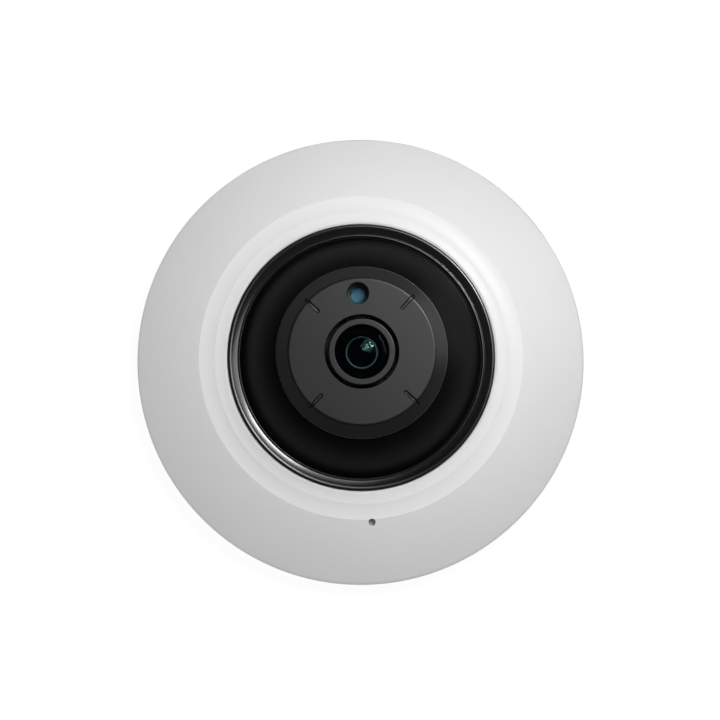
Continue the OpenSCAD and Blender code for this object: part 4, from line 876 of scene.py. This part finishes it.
# Reset switch and button. A small tact switch with a pressed steel cover, its button pointing back
# into the bay, where a pin can reach it.
switch_low, switch_high = span("reset_switch")
button_low, button_high = span("reset_button")
switch_at = ((switch_low.x + switch_high.x) / 2, (switch_low.y + switch_high.y) / 2)
button_r, button_play, press_room = (button_high.x - button_low.x) / 2, 0.08, 0.4
foot_r, foot_l, foot_places = 0.4, 0.15, (-1.9, 1.9)
switch = piece(
    "tact_switch", block(switch_low, switch_high),
    adds=[rod(foot_r, switch_low.z - foot_l, switch_low.z + overlap, switch_at[0] + x, switch_at[1] + y, 16)
          for x in foot_places for y in foot_places],
    cuts=[rod(button_r + button_play, switch_low.z - 1, button_high.z + press_room, *switch_at)],
    edge=0.1)
dressed(switch, shield_tin, "reset_switch")
button = piece("reset_key", turned(rounded([
    (0, button_low.z), (button_r, button_low.z, 0.25), (button_r, button_high.z, 0.1),
    (0, button_high.z)], 5), 48, on_axis=True))
button.data.transform(Matrix.Translation((switch_at[0] * MM, switch_at[1] * MM, 0)))
dressed(button, black_nylon, "reset_button", "button")

# Main board and its small parts. Green solder resist over glass fibre, tinned rings round the screw
# holes, rows of capacitors by the processor, and moulded chips with tinned legs.
resist = finish("board solder resist", moulded, {
    "Colour": (0.01, 0.07, 0.032, 1), "Drift": 0.25, "Gloss": 0.3, "Grain Size": 0.5, "Grain Depth": 0.008})
chip_resin = finish("chip resin", moulded, {
    "Colour": (0.028, 0.028, 0.03, 1), "Gloss": 0.5, "Grain Size": 0.08, "Grain Depth": 0.004})
board_r, board_hole_r, lead_hole_r, board_ends = board_high.x, 1.15, 0.4, (0, 20)
land_r, land_in_r, land_t, land_sink = 2.4, 1.2, 0.03, 0.005
board = piece(
    "logic_board", turned([(0, board_low.z), (board_r, board_low.z), (board_r, board_high.z),
                           (0, board_high.z)], 160, on_axis=True),
    cuts=[block((jack_low.x - play, jack_low.y - play, board_ends[0]),
                (jack_high.x + play, jack_high.y + play, board_ends[1]))]
    + [rod(board_hole_r, *board_ends, x, y, 32) for x, y in chassis_feet + board_bosses]
    + [rod(lead_hole_r, *board_ends, x, light_y, 16) for x in lead_spots], edge=0.06)
dressed(board, resist, "main_board")


def annulus(outer, inner, low, high, x, y):
    """A flat ring round a hole."""
    shape = turned([(inner, low), (outer, low), (outer, high), (inner, high)], 40)
    bmesh.ops.translate(shape, verts=shape.verts, vec=(x, y, 0))
    return shape


lands = piece("logic_lands", merged([
    annulus(land_r, land_in_r, z, z + land_t, x, y) for x, y in chassis_feet + board_bosses
    for z in (board_low.z - land_t + land_sink, board_high.z - land_sink)]))
dressed(lands, shield_tin)

resin_edge, dot_r, dot_depth, dot_inset = 0.12, 0.35, 0.08, 1


def packages(name, node, boxes):
    """Moulded packages, each between two corners and with a dot at its first leg."""
    shapes = [block(low, high, resin_edge) for low, high in boxes]
    dots = [rod(dot_r, high.z - dot_depth, high.z + 1, low.x + dot_inset, high.y - dot_inset, 20)
            for low, high in boxes]
    dressed(piece(name, merged(shapes), cuts=dots), chip_resin, node)


memory_low, memory_high = span("memory_chips")
memory_y = 24.5
memory_half = memory_high.y - memory_y
memory_boxes = [(Vector((memory_low.x, side * memory_y - memory_half, memory_low.z)),
                 Vector((memory_high.x, side * memory_y + memory_half, memory_high.z))) for side in (-1, 1)]
packages("main_chip", "processor", [span("processor")])
packages("lan_transformer", "network_transformer", [span("network_transformer")])
packages("memory_packages", "memory_chips", memory_boxes)

# The three forms of a leg: its shoulder, its foot and the shank between them, each from one distance
# beside the package to another and between two heights.
leg_half, leg_forms = 0.15, ((0, 0.45, 0.35, 0.5), (0.35, 0.85, -0.01, 0.12), (0.35, 0.47, 0, 0.5))
memory_legs, memory_leg_pitch, transformer_legs, transformer_leg_pitch = 10, 0.8, 8, 1.27


def legs(low, high, count, pitch):
    """Two rows of bent legs beside a package between two corners."""
    shapes = []
    for side, y in ((-1, low.y), (1, high.y)):
        for x in centred(count, pitch):
            middle = (low.x + high.x) / 2 + x
            for start, end, foot, top in leg_forms:
                near, far = sorted((y + side * start, y + side * end))
                shapes.append(block((middle - leg_half, near, low.z + foot),
                                    (middle + leg_half, far, low.z + top)))
    return shapes


chip_legs = piece("chip_legs", merged(
    [leg for box in memory_boxes for leg in legs(*box, memory_legs, memory_leg_pitch)]
    + legs(*span("network_transformer"), transformer_legs, transformer_leg_pitch)))
dressed(chip_legs, shield_tin)

# Rows of capacitors: the first place, the pitch and the count of each row, and 1 where the row runs
# along X and its capacitors lie across it.
processor_low, processor_high = span("processor")
top_rows = (
    (processor_low.x - 1.6, processor_low.y + 0.8, 1.5, 8, 0),
    (processor_low.x + 1, processor_high.y + 1.8, 1.6, 6, 1),
    (processor_low.x + 1, processor_low.y - 1.8, 1.6, 6, 1), (-28, 19.5, 1.8, 7, 1), (-6, 32.5, 2.2, 6, 1))
under_rows = ((-6, 11.5, 1.6, 9, 1), (-2, -14.5, 1.5, 7, 1), (11.5, 4.5, 1.4, 5, 0))
capacitor_halves, capacitor_h = ((0.55, 0.3), (0.3, 0.55)), 0.5
shapes = []
for rows, foot in ((top_rows, board_high.z), (under_rows, board_low.z - capacitor_h)):
    for start_x, start_y, pitch, count, across in rows:
        half_x, half_y = capacitor_halves[across]
        for i in range(count):
            x, y = start_x + i * pitch * across, start_y + i * pitch * (1 - across)
            shapes.append(block((x - half_x, y - half_y, foot), (x + half_x, y + half_y, foot + capacitor_h),
                                0.08))
dressed(piece("capacitors", merged(shapes)), finish("capacitor ceramic", moulded, {
    "Colour": (0.34, 0.24, 0.15, 1), "Drift": 0.3, "Gloss": 0.4, "Grain Size": 0.2,
    "Grain Depth": 0.004}))

# Pieces whose shape in the frame is right and whose finish is all they still need. Each group names
# its nodes and its finish.
rubber = finish("rubber black", moulded, {
    "Colour": (0.022, 0.022, 0.023, 1), "Gloss": 0.62, "Grain Size": 0.2, "Grain Depth": 0.01})
barrel_black = finish("barrel anodised", lathed, {
    "Colour": (0.009, 0.009, 0.01, 1), "Gloss": 0.45, "Mark Size": 0.12, "Mark Depth": 0.004})
filter_tint = clear_glass("filter glass", 700.0, 2.0, (0.0, 0.03), Base_Color=(0.62, 0.86, 0.92, 1), IOR=1.52)
carried = [
    (("cover_gasket", "window_gasket", "light_seal", "microphone_boot", "light_sensor_sleeve"), rubber),
    (("chassis",), finish("chassis aluminium", moulded, {
        "Colour": (0.6, 0.61, 0.62, 1), "Gloss": 0.42, "Gloss Drift": 0.2, "Drift": 0.1,
        "Grain Size": 0.4, "Grain Depth": 0.006}, Metallic=1.0)),
    (("sensor_board", "ir_board"), resist),
    (("image_sensor",), chip_resin),
    (("thermal_pad",), finish("pad silicone blue", moulded, {
        "Colour": (0.16, 0.32, 0.44, 1), "Gloss": 0.6, "Grain Size": 0.3, "Grain Depth": 0.02})),
    (("filter_base", "filter_lid", "lens_holder", "filter_frame"), black_nylon),
    (("microphone",), shield_tin),
    (("sensor_spacers",), finish("spacer brass", moulded, {
        "Colour": (0.7, 0.5, 0.2, 1), "Gloss": 0.3, "Grain Size": 0.15}, Metallic=1.0)),
    (("flex_cable",), finish("flex polyimide", moulded, {
        "Colour": (0.42, 0.17, 0.03, 1), "Drift": 0.3, "Gloss": 0.25, "Grain Size": 0.8})),
    (("filter_yoke", "filter_rotor"), finish("yoke steel", moulded, {
        "Colour": (0.42, 0.43, 0.45, 1), "Gloss": 0.35, "Drift": 0.15, "Grain Size": 0.25}, Metallic=1.0)),
    (("filter_coil",), finish("coil enamelled copper", moulded, {
        "Colour": (0.3, 0.11, 0.04, 1), "Gloss": 0.4, "Drift": 0.3, "Grain Size": 0.12,
        "Grain Depth": 0.02}, Metallic=1.0)),
    (("lens_lock_nut", "lens_barrel", "aperture_stop"), barrel_black),
    (("third_element", "rear_element"), coating),
    (("ir_cut_filter", "clear_filter", "sensor_glass"), filter_tint),
    (("ir_leds",), finish("diode resin", moulded, {
        "Colour": (0.75, 0.7, 0.5, 1), "Gloss": 0.15, "Grain Size": 0.5, "Grain Depth": 0.002})),
]
for nodes, material in carried:
    for name in nodes:
        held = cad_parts[name]
        held.data.materials.clear()
        held.data.materials.append(material)

# Studio. A small soft light near the part at the upper right, four panels that show only in glossy
# surfaces, a light from below for the back, an even dim surround, and a white floor that shows only to
# the camera and in reflections, so that the back can be seen from under it.


def panel(name, azimuth, elevation, distance, size, radiance, unseen=None):
    """A rectangular light of a given surface brightness that faces the part. Unseen names the kind of
    ray that doesn't find it."""
    made = bpy.data.objects.new(name, bpy.data.lights.new(name, "AREA"))
    made.data.shape = "RECTANGLE"
    made.data.size, made.data.size_y = size
    made.data.energy = radiance * size[0] * size[1] * 4
    azimuth, elevation = math.radians(azimuth), math.radians(elevation)
    way = Vector((math.cos(azimuth) * math.cos(elevation), math.sin(azimuth) * math.cos(elevation),
                  math.sin(elevation)))
    turn = way.to_track_quat("Z", "Y").to_matrix().to_4x4()
    made.matrix_world = Matrix.Translation(way * distance) @ turn
    made.visible_camera = False
    if unseen:
        setattr(made, unseen, False)
    bpy.context.scene.collection.objects.link(made)


panel("overhead", 44, 65, 0.25, (0.14, 0.14), 3.35)
panel("glint", 37, 53, 0.35, (0.085, 0.04), 60.0, "visible_diffuse")
panel("streak", 45, 64, 0.8, (0.19, 0.1), 25.0, "visible_diffuse")
panel("sheen", 40, 76, 0.4, (0.1, 0.1), 5.0, "visible_diffuse")
panel("side card", 20, 5, 0.6, (0.5, 0.16), 2.8, "visible_diffuse")
panel("underside", 0, -90, 0.3, (0.3, 0.3), 2.5, "visible_glossy")

world = bpy.data.worlds.new("surround")
bpy.context.scene.world = world
world.use_nodes = True
tree = world.node_tree
rays = add_node(tree, "ShaderNodeLightPath").outputs
way = add_node(tree, "ShaderNodeTexCoord").outputs["Generated"]
height = add_node(tree, "ShaderNodeSeparateXYZ", {0: way}).outputs[2]
mirror_light = maths(tree, "ADD", ramp(tree, height, -0.85, -0.6, 1.0, 0.05),
                     ramp(tree, height, 0.6, 0.95, 0.0, 0.07))
mirrored = maths(tree, "MAXIMUM", rays["Is Glossy Ray"], rays["Is Transmission Ray"])
fill = add_node(tree, "ShaderNodeMix", {
    0: mirrored, 2: ramp(tree, height, -0.25, 0.2, 0.22, 0.58), 3: mirror_light})
shown = add_node(tree, "ShaderNodeMix", {0: rays["Is Camera Ray"], 2: fill.outputs[0], 3: 1.0})
tree.links.new(shown.outputs[0], tree.nodes["Background"].inputs["Strength"])
tree.nodes["Background"].inputs["Color"].default_value = (1, 1, 1, 1)

floor_drop, floor_size = 0.4, 320
slab = bmesh.new()
bmesh.ops.create_circle(slab, cap_ends=True, radius=floor_size, segments=96)
bmesh.ops.translate(slab, verts=slab.verts, vec=(0, 0, -floor_drop))
floor = piece("floor", slab)
floor_white = bpy.data.materials.new("floor white")
floor_white.use_nodes = True
tree = floor_white.node_tree
tree.nodes.remove(tree.nodes["Principled BSDF"])
rays = add_node(tree, "ShaderNodeLightPath").outputs
seen = maths(tree, "ADD", maths(tree, "ADD", rays["Is Camera Ray"], rays["Is Glossy Ray"]),
             rays["Is Transmission Ray"], use_clamp=True)
underneath = add_node(tree, "ShaderNodeNewGeometry").outputs["Backfacing"]
above = maths(tree, "SUBTRACT", seen, underneath, use_clamp=True)
glow = add_node(tree, "ShaderNodeEmission", {"Strength": 0.85})
matte = add_node(tree, "ShaderNodeBsdfDiffuse", {"Color": (0.22, 0.22, 0.22, 1)})
both = add_node(tree, "ShaderNodeAddShader", {0: glow.outputs[0], 1: matte.outputs[0]})
clear = add_node(tree, "ShaderNodeBsdfTransparent")
mix = add_node(tree, "ShaderNodeMixShader", {0: above, 1: clear.outputs[0], 2: both.outputs[0]})
tree.links.new(mix.outputs[0], tree.nodes["Material Output"].inputs["Surface"])
floor.data.materials.append(floor_white)

bpy.context.scene.view_settings.view_transform = "Standard"
